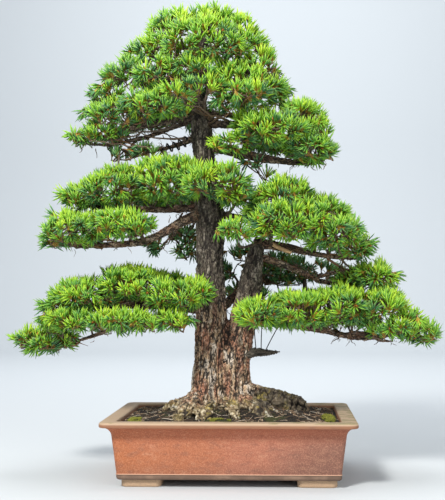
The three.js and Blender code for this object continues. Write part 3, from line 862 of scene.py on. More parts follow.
@dataclass
class Pot:
    """Rectangular pot with out-turned lip, flared wall, foot band and four corner feet."""

    length: float = 504 * MM
    depth: float = 350 * MM
    height: float = 130 * MM
    lip_width: float = 31 * MM
    lip_thickness: float = 10 * MM
    flare: float = 20 * MM
    body_inset: float = 22 * MM
    base_inset: float = 31 * MM
    band_proud: float = 1 * MM
    band_top: float = 27 * MM
    foot_height: float = 15 * MM
    foot_length: float = 79 * MM
    foot_depth: float = 60 * MM
    foot_inset: float = 39 * MM
    foot_corner: float = 12 * MM
    floor: float = 28 * MM
    wall: float = 13 * MM
    corner: float = 17 * MM
    straight: int = 12  # steps along each straight side
    drain_radius: float = 16 * MM
    drain_spacing: float = 220 * MM
    finish: FiredClay = field(default_factory=FiredClay)

    def centre(self) -> Vector:
        """Middle of the pot's base in the frame."""
        low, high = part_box("pot")
        return Vector(((low.x + high.x) / 2, (low.y + high.y) / 2, low.z))

    def ring(self, length: float, depth: float, radius: float, z: float, steps: int = 10) -> list[Vector]:
        """Draws a rounded rectangle with points along its straight sides too.

        Args:
            length: outer length.
            depth: outer depth.
            radius: corner radius.
            z: its height.
            steps: points in each corner.

        Returns:
            The ring, counter-clockwise from above.
        """
        def at(quarter: int, angle: float) -> Vector:
            """Finds a point on a corner's round.

            Args:
                quarter: the corner, counted from the right back one.
                angle: the turn in radians.

            Returns:
                The point.
            """
            side_x, side_y = 1 if quarter % 4 in (0, 3) else -1, 1 if quarter % 4 < 2 else -1
            x = side_x * (length / 2 - radius) + radius * math.cos(angle)
            return Vector((x, side_y * (depth / 2 - radius) + radius * math.sin(angle), z))

        points: list[Vector] = []
        for quarter in range(4):
            points += [at(quarter, math.pi / 2 * (quarter + step / steps)) for step in range(steps + 1)]
            start, end = points[-1].copy(), at(quarter + 1, math.pi / 2 * (quarter + 1))
            points += [start.lerp(end, share / self.straight) for share in range(1, self.straight)]
        return points

    def outline(self, inset: float, z: float) -> list[Vector]:
        """The pot's outline drawn in by an inset."""
        radius = max(self.corner - inset * 0.3, 6 * MM)
        return self.ring(self.length - 2 * inset, self.depth - 2 * inset, radius, z)

    def profile(self) -> list[tuple[float, float]]:
        """Works out the section, from under the floor out and over to the floor inside.

        Returns:
            Inset and height of each ring.
        """
        wall_top = self.height - self.lip_thickness
        flare_low = wall_top - self.flare
        base, foot, band, lip = self.base_inset, self.foot_height, self.band_top, self.lip_width
        proud, inner = base - self.band_proud, base + self.wall
        steps = [
            (base + 6 * MM, foot),
            (base + 2.6 * MM, foot + 0.5 * MM),
            (base + 0.4 * MM, foot + 2.4 * MM),
            (base - 0.3 * MM, foot + 5.0 * MM),
            (base - 0.2 * MM, band - 2.6 * MM),
            (proud, band - 1.9 * MM),
            (proud - 0.2 * MM, band - 0.9 * MM),
            (proud + 0.3 * MM, band - 0.1 * MM),
            (base - 0.1 * MM, band + 0.8 * MM),
        ]
        for share in (0.15, 0.35, 0.55, 0.75, 0.92):
            steps.append((base + (self.body_inset - base) * share, band + (flare_low - band) * share))
        for turn in range(10):
            angle = math.pi / 2 * turn / 9
            inset = self.body_inset - (self.body_inset - 1.6 * MM) * (1 - math.cos(angle))
            steps.append((inset, flare_low + self.flare * math.sin(angle)))
        return steps + [
            (0.7 * MM, wall_top + 0.4 * MM),
            (0.0, wall_top + 2.2 * MM),
            (0.0, self.height - 4.0 * MM),
            (0.5 * MM, self.height - 2.0 * MM),
            (1.7 * MM, self.height - 0.6 * MM),
            (3.4 * MM, self.height),
            (lip * 0.5, self.height),
            (lip - 3.2 * MM, self.height),
            (lip - 1.2 * MM, self.height - 0.6 * MM),
            (lip - 0.2 * MM, self.height - 2.2 * MM),
            (lip + 0.3 * MM, self.height - 5.0 * MM),
            (inner - 1.0 * MM, self.floor + 8 * MM),
            (inner + 3.0 * MM, self.floor + 1.0 * MM),
            (inner + 8.0 * MM, self.floor),
        ]

    @staticmethod
    def loft(rings: Sequence[Sequence[Vector]], name: str) -> Object:
        """Lays a closed skin through rings, capped at both ends.

        Args:
            rings: rings of equal length.
            name: the object's name.

        Returns:
            A closed object.
        """
        count = len(rings[0])
        faces: list[tuple[int, ...]] = [tuple(reversed(range(count)))]
        for low in range(0, (len(rings) - 1) * count, count):
            for i in range(count):
                after = (i + 1) % count
                faces.append((low + i, low + after, low + count + after, low + count + i))
        faces.append(tuple((len(rings) - 1) * count + i for i in range(count)))
        made = bpy.data.meshes.new(name)
        made.from_pydata([p for ring in rings for p in ring], [], faces)
        made.update()
        return linked(made, name)

    def _foot(self, side_x: int, side_y: int) -> Object:
        """Makes one corner foot, reaching up into the pot's floor.

        Args:
            side_x: 1 right, -1 left.
            side_y: 1 back, -1 front.

        Returns:
            The foot.
        """
        x = side_x * (self.length / 2 - self.foot_inset - self.foot_length / 2)
        y = side_y * (self.depth / 2 - self.foot_inset - self.foot_depth / 2)
        rings = []
        for inset, z in ((3.0, 0.0), (1.2, 0.5), (0.2, 1.8), (0.0, 4.0), (0.0, 17.0)):
            inset *= MM
            length, depth = self.foot_length - 2 * inset, self.foot_depth - 2 * inset
            ring = self.ring(length, depth, self.foot_corner - inset, z * MM, 6)
            rings.append([p + Vector((x, y, 0)) for p in ring])
        return self.loft(rings, "pot_foot")

    def _drain(self, side: int) -> Object:
        """Makes a round plug of air for one drainage hole.

        Args:
            side: 1 right, -1 left.

        Returns:
            The plug.
        """
        turns = [2 * math.pi * i / 40 for i in range(40)]
        x, radius = side * self.drain_spacing / 2, self.drain_radius
        rings = []
        for z in (self.foot_height - 5 * MM, self.floor + 5 * MM):
            rings.append([Vector((x + radius * math.cos(a), radius * math.sin(a), z)) for a in turns])
        return self.loft(rings, "pot_drain")

    def build(self) -> Object:
        """Builds the pot in clay.

        Returns:
            The pot.
        """
        bowl = self.loft([self.outline(inset, z) for inset, z in self.profile()], "pot_bowl")
        helpers = [(self._foot(x, y), "UNION") for x in (-1, 1) for y in (-1, 1)]
        helpers += [(self._drain(side), "DIFFERENCE") for side in (-1, 1)]
        for helper, operation in helpers:
            step = bowl.modifiers.new("join", "BOOLEAN")
            step.operation = operation
            step.solver = "EXACT"
            step.object = helper
        mesh = evaluated(bowl)
        for helper, _ in helpers:
            bpy.data.objects.remove(helper)
        points = points_of(mesh)
        for i, point in enumerate(points):
            if 1 * MM < point[2] < self.height - 1 * MM:
                wobble = noise.noise(Vector(point) * 14) * 0.5 * MM
                points[i] += np.array(Vector((point[0], point[1], 0)).normalized()) * wobble
        move_points(mesh, points + np.array(self.centre()))
        mesh.shade_smooth()
        mesh.set_sharp_from_angle(angle=math.radians(38))
        made = as_object("pot_body", mesh, self.finish.material())
        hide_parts("pot")
        return made


# ---- Wood


class Grain(Enum):
    """How far bark plates are drawn out along each axis."""

    UPRIGHT = (1.0, 1.0, 0.24)
    SIDEWAYS = (0.40, 1.0, 1.0)


@dataclass
class Limb:
    """A woody CAD node rebuilt with bark relief."""

    node: str
    slot: str
    voxel: float = 1.7 * MM
    smoothing: int = 6
    plate: float = 9 * MM
    depth: float = 1.6 * MM
    grain: Grain = Grain.SIDEWAYS
    root_height: float = 0.0
    root_blend: float = 22 * MM
    root_depth: float = 7 * MM
    reach: float = 5 * MM

    @staticmethod
    def groove(place: Vector, width: float) -> float:
        """How deep in a winding groove of a width a place is, from 1 in its middle to 0 beside it."""
        level = (noise.noise(place) + 0.35 * noise.noise(place * 2.9 + Vector((1.3, 2.7, 4.1)))) / width
        return math.exp(-level * level)

    def relief(self, where: Vector) -> Array:
        """Bark relief: long strips between winding grooves, broken by short cracks.

        Args:
            where: the place in metres.

        Returns:
            Outward move in metres, openness from 0 in a groove to 1 on a strip, and its shade.
        """
        warp = noise.noise_vector(where * 30) * 0.30
        place = Vector(a * b for a, b in zip(where, Vector(self.grain.value))) / self.plate + warp
        deep = self.groove(place, 0.11)
        side = self.groove(place * 2.1 + Vector((7.1, 3.3, 1.7)), 0.12) * 0.65
        cross = self.groove(where / (self.plate * 1.1) + Vector((2.2, 8.4, 5.1)), 0.07) * 0.6
        hollow = max(deep, side, cross)
        shade = 0.5 + 0.55 * noise.noise(place * 0.8 + Vector((5.0, 9.0, 2.0)))
        swell = noise.noise(where * 24) * 0.8
        crumbs = noise.fractal(where * 240, 1.0, 2.0, 2) * 0.4
        lift = ((shade - 0.5) * 1.1 + swell * 0.6 + crumbs - hollow * 1.25 + 0.12) * self.depth
        return np.array((lift, 1 - hollow, shade))

    def rugged(self, where: Vector) -> Array:
        """Craggy root relief.

        Args:
            where: the place in metres.

        Returns:
            Outward move in metres, openness and shade, as for the bark.
        """
        warp = noise.noise_vector(where * 40) * 0.5
        deep = self.groove(where * 36 + warp, 0.12)
        small = self.groove(where * 92 + warp + Vector((4.2, 1.3, 6.6)), 0.13) * 0.55
        hollow = max(deep, small)
        lift = noise.fractal(where * 27, 1.0, 2.1, 3) * 8.0 * MM + (0.30 - hollow) * self.root_depth
        return np.array((lift, 1 - hollow, 0.5 + 0.5 * noise.noise(where * 60)))

    def source(self, trunk: Optional[BVHTree]) -> Mesh:
        """Takes the CAD shape and pushes its end into the trunk, so that it grows out of it.

        Args:
            trunk: search tree of what it grows from, or None for the trunk itself.

        Returns:
            The closed mesh to cover with bark.
        """
        mesh = welded_copy(self.node)
        if trunk is None:
            return mesh
        points = points_of(mesh)
        for i, point in enumerate(points):
            near, _, _, distance = trunk.find_nearest(Vector(point), 1.6 * MM)
            if near is not None and distance > 1e-6:
                points[i] += np.array((near - Vector(point)).normalized()) * self.reach
        move_points(mesh, points)
        return mesh

    def build(self, material: Material, trunk: Optional[BVHTree] = None) -> Object:
        """Builds the limb with its bark.

        Args:
            material: its finish.
            trunk: search tree of what it grows from.

        Returns:
            The limb.
        """
        mesh = remeshed(self.source(trunk), self.voxel, self.smoothing)
        points, normals = points_of(mesh), normals_of(mesh)
        looks = np.empty((len(points), 3))
        for i, point in enumerate(points):
            looks[i] = self.relief(Vector(point))
            if point[2] < self.root_height:
                share = min((self.root_height - point[2]) / self.root_blend, 1.0)
                looks[i] += (self.rugged(Vector(point)) - looks[i]) * share
        move_points(mesh, points + normals * looks[:, :1])
        store(mesh, "plate", looks[:, 1])
        store(mesh, "shade", looks[:, 2])
        made = as_object(f"{self.node}_bark", mesh, material)
        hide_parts(self.node)
        return made


# ---- Needles


@dataclass
class Tufts:
    """How a pine's needle tufts are made."""

    spacing: float = 17.5 * MM
    inset: float = 24 * MM
    needles: int = 18
    needle_length: float = 25 * MM
    needle_width: float = 1.5 * MM
    shoot: float = 11 * MM
    twig: float = 1.05 * MM
    bud_share: float = 0.75

    def blades(self, tips: Array, ways: Array, painted_light_and_tint: Array, rng: Chance, out: Blades) -> None:
        """Adds the needles, shoots and buds of many tufts.

        Args:
            tips: where each shoot starts.
            ways: which way each shoot points.
            painted_light_and_tint: colour level of each tuft, 0 dark to 1 light; painted light from its
                height and facing in the pad, with a random tint.
            rng: source of chance.
            out: mesh to add to.
        """
        count, each = len(tips), self.needles
        way = np.repeat(ways, each, axis=0)
        helper = unit(np.cross(way, rng.normal(size=way.shape)))
        lean = np.radians(8 + 46 * rng.random(len(way)) ** 0.75)
        aim = unit(way * np.cos(lean)[:, None] + helper * np.sin(lean)[:, None])
        height = rng.random(len(way))
        size = np.repeat(0.85 + 0.3 * rng.random(count), each)
        length = (self.needle_length * size * (0.78 + 0.3 * rng.random(len(way))))[:, None]
        start = np.repeat(tips, each, axis=0) + way * (self.shoot * (0.15 + 0.85 * height))[:, None]
        bend = (way * 0.10 + UP * 0.05 + 0.05 * rng.normal(size=way.shape)) * length
        line = np.stack([start, start + aim * (0.7 * length) + bend * 0.4, start + aim * length + bend], 1)
        width = self.needle_width * (0.85 + 0.3 * rng.random(len(way)))
        level = np.repeat(painted_light_and_tint, each) * 9.0 + rng.normal(scale=1.5, size=len(way)) + 1.6
        bins = np.clip(np.round(level), 0, LAST_NEEDLE).astype(int)
        out.add(line, np.stack([width * 0.8, width, np.zeros(len(way))], 1), bins)
        shoot = ways * self.shoot
        stems = np.stack([tips - ways * 3 * MM, tips + shoot * 0.6, tips + shoot * 1.15], 1)
        out.add(stems, np.tile(np.array([1.15, 1.0, 0.9]) * MM, (count, 1)), np.full(count, SHOOT), sides=5)
        bud = tips + shoot * 1.1
        buds = np.stack([bud, bud + ways * 2.6 * MM, bud + ways * 7.5 * MM], 1)
        buds = buds[rng.random(count) < self.bud_share]
        bud_width = np.tile(np.array([1.0, 1.75, 0.0]) * MM, (len(buds), 1))
        out.add(buds, bud_width, np.full(len(buds), BUD), sides=5)


@dataclass
class Pad:
    """One cloud of needle tufts on its twigs, spread over the surface of a CAD pad."""

    node: str
    # colour level of the pad's needles: painted light, set lower for pads that lie in shade
    light: float = 0.5
    density: float = 1.0
    under: float = 0.8
    gaps: float = 0.42
    gap_scale: Colour = (21, 5, 21)  # gaps per metre along each axis; they run front to back
    runners: int = 5
    runner_reach: float = 130 * MM
    tufts: Tufts = field(default_factory=Tufts)

    def sample(self, rng: Chance, others: BVHTree) -> tuple[Array, Array]:
        """Spreads tuft places evenly over the pad's open surface.

        Args:
            rng: source of chance.
            others: search tree of the wood and the other pads, where no tuft grows.

        Returns:
            Places on the surface and the surface's way out there.
        """
        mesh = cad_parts[self.node].data
        mesh.calc_loop_triangles()
        corners = np.array([[mesh.vertices[i].co[:] for i in t.vertices] for t in mesh.loop_triangles])
        cross = np.cross(corners[:, 1] - corners[:, 0], corners[:, 2] - corners[:, 0])
        area = np.linalg.norm(cross, axis=1) / 2
        tries = int(area.sum() / self.tufts.spacing**2 * 6 * self.density)
        chosen = rng.choice(len(area), size=tries, p=area / area.sum())
        outward = unit(cross)[chosen]
        a, b = rng.random((2, tries))
        flip = a + b > 1
        a[flip], b[flip] = 1 - a[flip], 1 - b[flip]
        tri = corners[chosen]
        places = tri[:, 0] + a[:, None] * (tri[:, 1] - tri[:, 0]) + b[:, None] * (tri[:, 2] - tri[:, 0])
        spacing = self.tufts.spacing / math.sqrt(self.density)
        chance = rng.random(tries)
        kept: list[int] = []
        near = np.empty((0, 3))
        for i, place in enumerate(places):
            shaded = -outward[i][2] > 0.25 and chance[i] > self.under
            if shaded or (len(near) and np.min(np.sum((near - place) ** 2, axis=1)) < spacing**2):
                continue
            if noise.noise(Vector(place * self.gap_scale)) < -self.gaps:
                continue
            if others.find_nearest(Vector(place), 3.5 * MM)[0] is None:
                kept.append(i)
                near = places[kept]
        return places[kept], outward[kept]

    def directions(self, outward: Array, rng: Chance) -> Array:
        """Points each tuft's shoot out of the pad and up to the light.

        Args:
            outward: the surface's way out at each tuft.
            rng: source of chance.

        Returns:
            One direction for each tuft.
        """
        flat = outward * np.array([1.0, 1.0, 0.35])
        lift = np.where(outward[:, 2:3] < -0.2, 0.15, 0.75)
        return unit(flat * 0.85 + UP * lift + rng.normal(scale=0.24, size=outward.shape))

    def twigs(self, starts: Array, tips: Array, ways: Array, rng: Chance, out: Blades) -> None:
        """Grows twigs from the branches to every tuft, thicker where more tufts hang on them.

        Args:
            starts: places on the branches that twigs may start from.
            tips: where the shoots start.
            ways: which way the shoots point.
            rng: source of chance.
            out: mesh to add to.
        """
        nodes = [np.array(p) for p in starts]
        length = [0.0] * len(nodes)
        parent = [-1] * len(nodes)
        load = [0] * len(nodes)
        reach = [float(np.min(np.linalg.norm(starts - tip, axis=1))) for tip in tips]
        for index in np.argsort(reach):
            goal = tips[index] - ways[index] * 3 * MM
            table = np.array(nodes)
            away = np.linalg.norm(table - goal, axis=1)
            last = int(np.argmin(np.where(away > 4 * MM, away + 0.25 * np.array(length), np.inf)))
            origin, span = table[last], float(away[last])
            pieces = max(2, int(span / (14 * MM)))
            sag = rng.normal(scale=0.06 * span, size=3)
            end_pull = ways[index] * 0.25 * span
            for step in range(1, pieces + 1):
                share = step / pieces
                bow = 4 * share * (1 - share)
                nodes.append(origin + (goal - origin) * share + sag * bow - end_pull * bow * share)
                length.append(length[last] + span / pieces)
                parent.append(last)
                load.append(0)
                last = len(nodes) - 1
            while last >= 0:
                load[last] += 1
                last = parent[last]
        links = [i for i in range(len(nodes)) if parent[i] >= 0]
        table = np.array(nodes)
        thick = self.tufts.twig * np.power(np.maximum(load, 1), 0.36)
        begins, ends, end = table[[parent[i] for i in links]], table[links], thick[links]
        root = np.array([thick[parent[i]] if parent[parent[i]] >= 0 else thick[i] * 1.15 for i in links])
        root = np.minimum(root, end * 1.3)
        step = ends - begins
        lines = np.stack([begins - step * 0.06, begins + step * 0.5, ends + step * 0.06], 1)
        bins = np.where(end > 2 * MM, THICK_TWIG, THIN_TWIG)
        out.add(lines, np.stack([root, (root + end) / 2, end], 1), bins, sides=5)

    def bare_twigs(self, starts: Array, tips: Array, rng: Chance, out: Blades) -> None:
        """Fans long bare twigs out under the pad, from near the trunk to its far edge.

        Args:
            starts: places on the branches.
            tips: where the shoots start.
            rng: source of chance.
            out: mesh to add to.
        """
        low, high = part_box("trunk_and_roots")
        trunk = np.array([(low.x + high.x) / 2, 0.0])
        away = np.linalg.norm(tips[:, :2] - trunk, axis=1)
        outer = tips[(away > np.median(away)) & (tips[:, 2] < np.quantile(tips[:, 2], 0.45))]
        pairs = []
        for _ in range(self.runners if len(outer) else 0):
            end = outer[rng.integers(0, len(outer))] - UP * 4 * MM
            span = np.linalg.norm(starts - end, axis=1)
            inward = np.linalg.norm(starts[:, :2] - trunk, axis=1) < np.linalg.norm(end[:2] - trunk)
            usable = starts[(span > 40 * MM) & (span < self.runner_reach) & inward]
            if len(usable):
                pairs.append((usable[rng.integers(0, len(usable))], end))
        if not pairs:
            return
        begin, end = np.array(pairs).swapaxes(0, 1)[:, :, None]
        rings = 9
        share = np.linspace(0, 1, rings)[None, :, None]
        span = np.linalg.norm(end - begin, axis=2, keepdims=True)
        kinks = rng.normal(scale=0.020, size=(len(begin), rings, 3)) * span
        kinks[:, 0] = 0
        lines = begin + (end - begin) * share + kinks - UP * 0.03 * span * np.sin(np.pi * share)
        taper = np.linspace(2.3, 0.8, rings)[None, :] * (0.7 + 0.6 * rng.random(len(begin)))[:, None]
        out.add(lines, taper * MM, rng.integers(SHOOT, BINS, len(begin)), sides=6)

    def build(self, material: Material, starts: Array, others: BVHTree, seed: int) -> Object:
        """Builds the pad.

        Args:
            material: the needles' finish.
            starts: places on all branches.
            others: search tree of the wood and the other pads.
            seed: fixes the chance.

        Returns:
            The pad.
        """
        rng = np.random.default_rng(seed)
        places, outward = self.sample(rng, others)
        ways = self.directions(outward, rng)
        depth = self.tufts.inset * np.where(outward[:, 2] < -0.25, 0.35, 1.0) + self.tufts.shoot * 0.5
        tips = places - ways * depth[:, None] + rng.normal(scale=2 * MM, size=places.shape)
        low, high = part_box(self.node)
        rise = (places[:, 2] - low.z) / (high.z - low.z)
        # Painted light: tufts higher in the pad and facing up get lighter colour strips, on top of the
        # pad's light level; the random spread below is tint.
        painted_light_and_tint = self.light - 0.10 + 0.18 * rise + 0.10 * outward[:, 2]
        painted_light_and_tint = np.clip(painted_light_and_tint + rng.normal(scale=0.19, size=len(places)), 0, 1)
        out = Blades()
        self.tufts.blades(tips, ways, painted_light_and_tint, rng, out)
        near = self._near(starts, low, high)
        self.twigs(near, tips, ways, rng, out)
        self.bare_twigs(near, tips, rng, out)
        made = as_object(f"{self.node}_needles", out.mesh(self.node), material)
        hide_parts(self.node)
        log.info("%s: %d tufts, %d points", self.node, len(tips), out.count)
        return made

    @staticmethod
    def _near(starts: Array, low: Vector, high: Vector) -> Array:
        """Picks the branch places in or close under the pad's box.

        Args:
            starts: places on all branches.
            low: the box's low corner.
            high: its high corner.

        Returns:
            The places picked.
        """
        slack = np.array([25, 25, 30]) * MM
        for _ in range(6):
            inside = np.all((starts > np.array(low) - slack) & (starts < np.array(high) + slack), axis=1)
            if inside.sum() >= 8:
                break
            slack = slack * 1.6
        return starts[inside]


@dataclass
class DryTwigs:
    """Short bare twigs that stand on the branches."""

    count: int = 1100
    longest: float = 26 * MM
    width: float = 0.95 * MM
    rings: int = 5

    def build(self, branches: Sequence[str], material: Material) -> Object:
        """Builds the twigs of all branches as one piece.

        Args:
            branches: CAD nodes that they stand on.
            material: their finish.

        Returns:
            The twigs.
        """
        rng = np.random.default_rng(91)
        meshes = [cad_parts[node].data for node in branches]
        everywhere = np.concatenate([points_of(mesh) for mesh in meshes])
        outward = np.concatenate([normals_of(mesh) for mesh in meshes])
        chosen = rng.integers(0, len(everywhere), self.count)
        line = [everywhere[chosen] + rng.normal(scale=3 * MM, size=(self.count, 3))]
        way = unit(outward[chosen] + UP * 0.25 + rng.normal(scale=0.5, size=(self.count, 3)))
        step = (self.longest * (0.25 + 0.75 * rng.random(self.count) ** 1.5) / (self.rings - 1))[:, None]
        for _ in range(1, self.rings):
            way = unit(way + rng.normal(scale=0.38, size=way.shape))
            line.append(line[-1] + way * step)
        taper = np.linspace(1.0, 0.45, self.rings)[None, :]
        widths = taper * (self.width * (0.6 + 0.8 * rng.random(self.count)))[:, None]
        out = Blades()
        out.add(np.stack(line, 1), widths, rng.integers(SHOOT, BINS, self.count), sides=5)
        return as_object("dry_twigs", out.mesh("dry_twigs"), material)


# ---- Ground


@dataclass
class Ground:
    """Soil with crumbs, fallen needles and rootlets."""

    voxel: float = 3.0 * MM
    crumbs: int = 1600
    litter: int = 240
    rootlets: int = 230
    rootlet_steps: int = 7

    def soil(self) -> Object:
        """Builds the soil body with a crumbly top.

        Returns:
            The soil.
        """
        mesh = remeshed(welded_copy("soil"), self.voxel, 2)
        points, normals = points_of(mesh), normals_of(mesh)
        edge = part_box("pot")[1].z - 16 * MM
        for i, point in enumerate(points):
            if point[2] > edge and normals[i][2] > 0.3:
                where = Vector(point)
                lump = noise.fractal(where * 40, 1.0, 2.0, 3) * 2.6 * MM
                points[i][2] += lump + noise.fractal(where * 210, 1.0, 2.0, 2) * 1.4 * MM
        move_points(mesh, points)
        made = as_object("soil_bed", mesh, SOIL_EARTH.material())
        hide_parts("soil")
        return made

    def scatter(self, surface: BVHTree, rng: Chance) -> Object:
        """Lays crumbs, fallen needles and rootlets on the soil and low roots.

        Args:
            surface: search tree of what they lie on.
            rng: source of chance.

        Returns:
            The litter, as one piece.
        """
        low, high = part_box("soil")
        out = Blades()

        def drop(x: float, y: float) -> tuple[Optional[Vector], Optional[Vector]]:
            """What lies straight below a place: the point and the way up there."""
            return surface.ray_cast(Vector((x, y, high.z + 30 * MM)), Vector((0, 0, -1)))[:2]

        def spots(count: int) -> tuple[Array, Array]:
            """Picks chance places on the ground.

            Args:
                count: how many.

            Returns:
                The places, and the ground's way up there.
            """
            found = []
            while len(found) < count:
                x = low.x + (high.x - low.x) * (0.015 + 0.97 * rng.random())
                hit, normal = drop(x, low.y + (high.y - low.y) * (0.02 + 0.96 * rng.random()))
                if hit is not None and hit.z < high.z + 2 * MM and normal.z > 0.3:
                    found.append((hit[:], normal[:]))
            return tuple(np.array(found).swapaxes(0, 1))

        base, way = spots(self.crumbs)
        size = 0.6 + 1.7 * rng.random(self.crumbs) ** 3
        half = unit(rng.normal(size=base.shape)) * (size * 0.8 * MM)[:, None]
        middle = base + way * (size * 0.4 * MM)[:, None]
        lines = np.stack([middle - half, middle - half * 0.5, middle + half * 0.5, middle + half], 1)
        widths = np.stack([size * 0.45, size, size * 0.9, size * 0.4], 1) * MM
        light = rng.random(self.crumbs) < 0.10
        shade = np.where(light, rng.integers(11, 16, self.crumbs), rng.integers(0, 4, self.crumbs))
        out.add(lines, widths, shade, sides=6)

        base, way = spots(self.litter)
        aim = np.cross(way, rng.normal(size=way.shape)) + 0.12 * rng.normal(size=way.shape)
        aim = unit(aim + way * 0.08)
        length = ((14 + 14 * rng.random(self.litter)) * MM)[:, None]
        start = base + way * 1.2 * MM - aim * (length / 2)
        lines = np.stack([start, start + aim * (length * 0.5) + way * 1.5 * MM, start + aim * length], 1)
        widths = np.tile(np.array([0.42, 0.42, 0.0]) * MM, (self.litter, 1))
        out.add(lines, widths, rng.integers(1, 11, self.litter))

        base, way = spots(self.rootlets)
        aim = unit(np.cross(way, rng.normal(size=way.shape)))
        turn = np.cross(way, aim)
        path = [base + way * 0.8 * MM]
        for step in range(1, self.rootlet_steps):
            curl = np.sin(step * 0.9 + rng.random(self.rootlets) * 6.3)[:, None]
            stride = (3.2 + 2.5 * rng.random(self.rootlets))[:, None] * MM
            path.append(path[-1] + (aim + turn * curl * 0.9) * stride)
        for points in path:
            for row, point in enumerate(points):
                hit = drop(point[0], point[1])[0]
                if hit is not None:
                    point[2] = min(hit.z, base[row][2] + 6 * MM) + 0.9 * MM
        taper = np.linspace(0.75, 0.25, self.rootlet_steps) * MM
        widths = np.tile(taper, (self.rootlets, 1)) * (0.6 + 0.7 * rng.random(self.rootlets))[:, None]
        out.add(np.stack(path, 1), widths, rng.integers(8, 16, self.rootlets), sides=5)
        return as_object("ground_litter", out.mesh("ground_litter"), LITTER_STRIPS.material())


@dataclass
class Moss:
    """A cushion of short moss grown over its CAD lump."""

    node: str
    blades: int = 2400
    bare: float = -0.05
    length: float = 3.6 * MM

    def build(self, ground: Material, blades: Material, seed: int) -> Object:
        """Builds the cushion and its blades.

        Args:
            ground: finish of the cushion under the blades.
            blades: finish of the blades.
            seed: fixes the chance.

        Returns:
            The blades, which stand for the CAD lump with the cushion.
        """
        rng = np.random.default_rng(seed)
        mesh = remeshed(welded_copy(self.node), 1.6 * MM, 3)
        points, normals = points_of(mesh), normals_of(mesh)
        for i, point in enumerate(points):
            points[i] += normals[i] * noise.fractal(Vector(point) * 120, 1.0, 2.0, 3) * 1.6 * MM
        move_points(mesh, points)
        cushion = as_object(f"{self.node}_cushion", mesh, ground)
        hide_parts(self.node)
        patch = np.array([noise.noise(Vector(point) * 75) for point in points])
        chosen = rng.choice(np.flatnonzero((normals[:, 2] > 0.1) & (patch > self.bare)), self.blades)
        base = points[chosen] + rng.normal(scale=0.5 * MM, size=(self.blades, 3))
        way = unit(normals[chosen] + UP * 0.6 + rng.normal(scale=0.4, size=base.shape))
        rise = way * (self.length * (0.5 + 0.7 * rng.random(self.blades)))[:, None]
        widths = np.tile(np.array([0.45, 0.4, 0.0]) * MM, (self.blades, 1))
        out = Blades()
        lines = np.stack([base, base + rise * 0.5, base + rise], 1)
        out.add(lines, widths, rng.integers(0, BINS, self.blades))
        made = as_object(f"{self.node}_blades", out.mesh(self.node), blades)
        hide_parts(self.node)
        return made


# ---- Wires


@dataclass
class Wires:
    """Wires, staples and screens whose CAD shape is right and that only need a finish."""

    finishes: dict[Metal, tuple[str, ...]] = field(default_factory=lambda: {
        MESH_PLASTIC: ("drainage_screen_left", "drainage_screen_right"),
        COPPER: ("screen_staple_left", "screen_staple_right", "root_anchor_wire"),
        GREY_WIRE: ("guy_wire_left", "guy_wire_middle", "guy_wire_right"),
        BLACK_WIRE: ("training_wire",),
    })

    def dress(self) -> None:
        """Gives each wire its finish."""
        for finish, nodes in self.finishes.items():
            material = finish.material()
            for node in nodes:
                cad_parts[node].material_slots[0].material = material


# ---- Studio


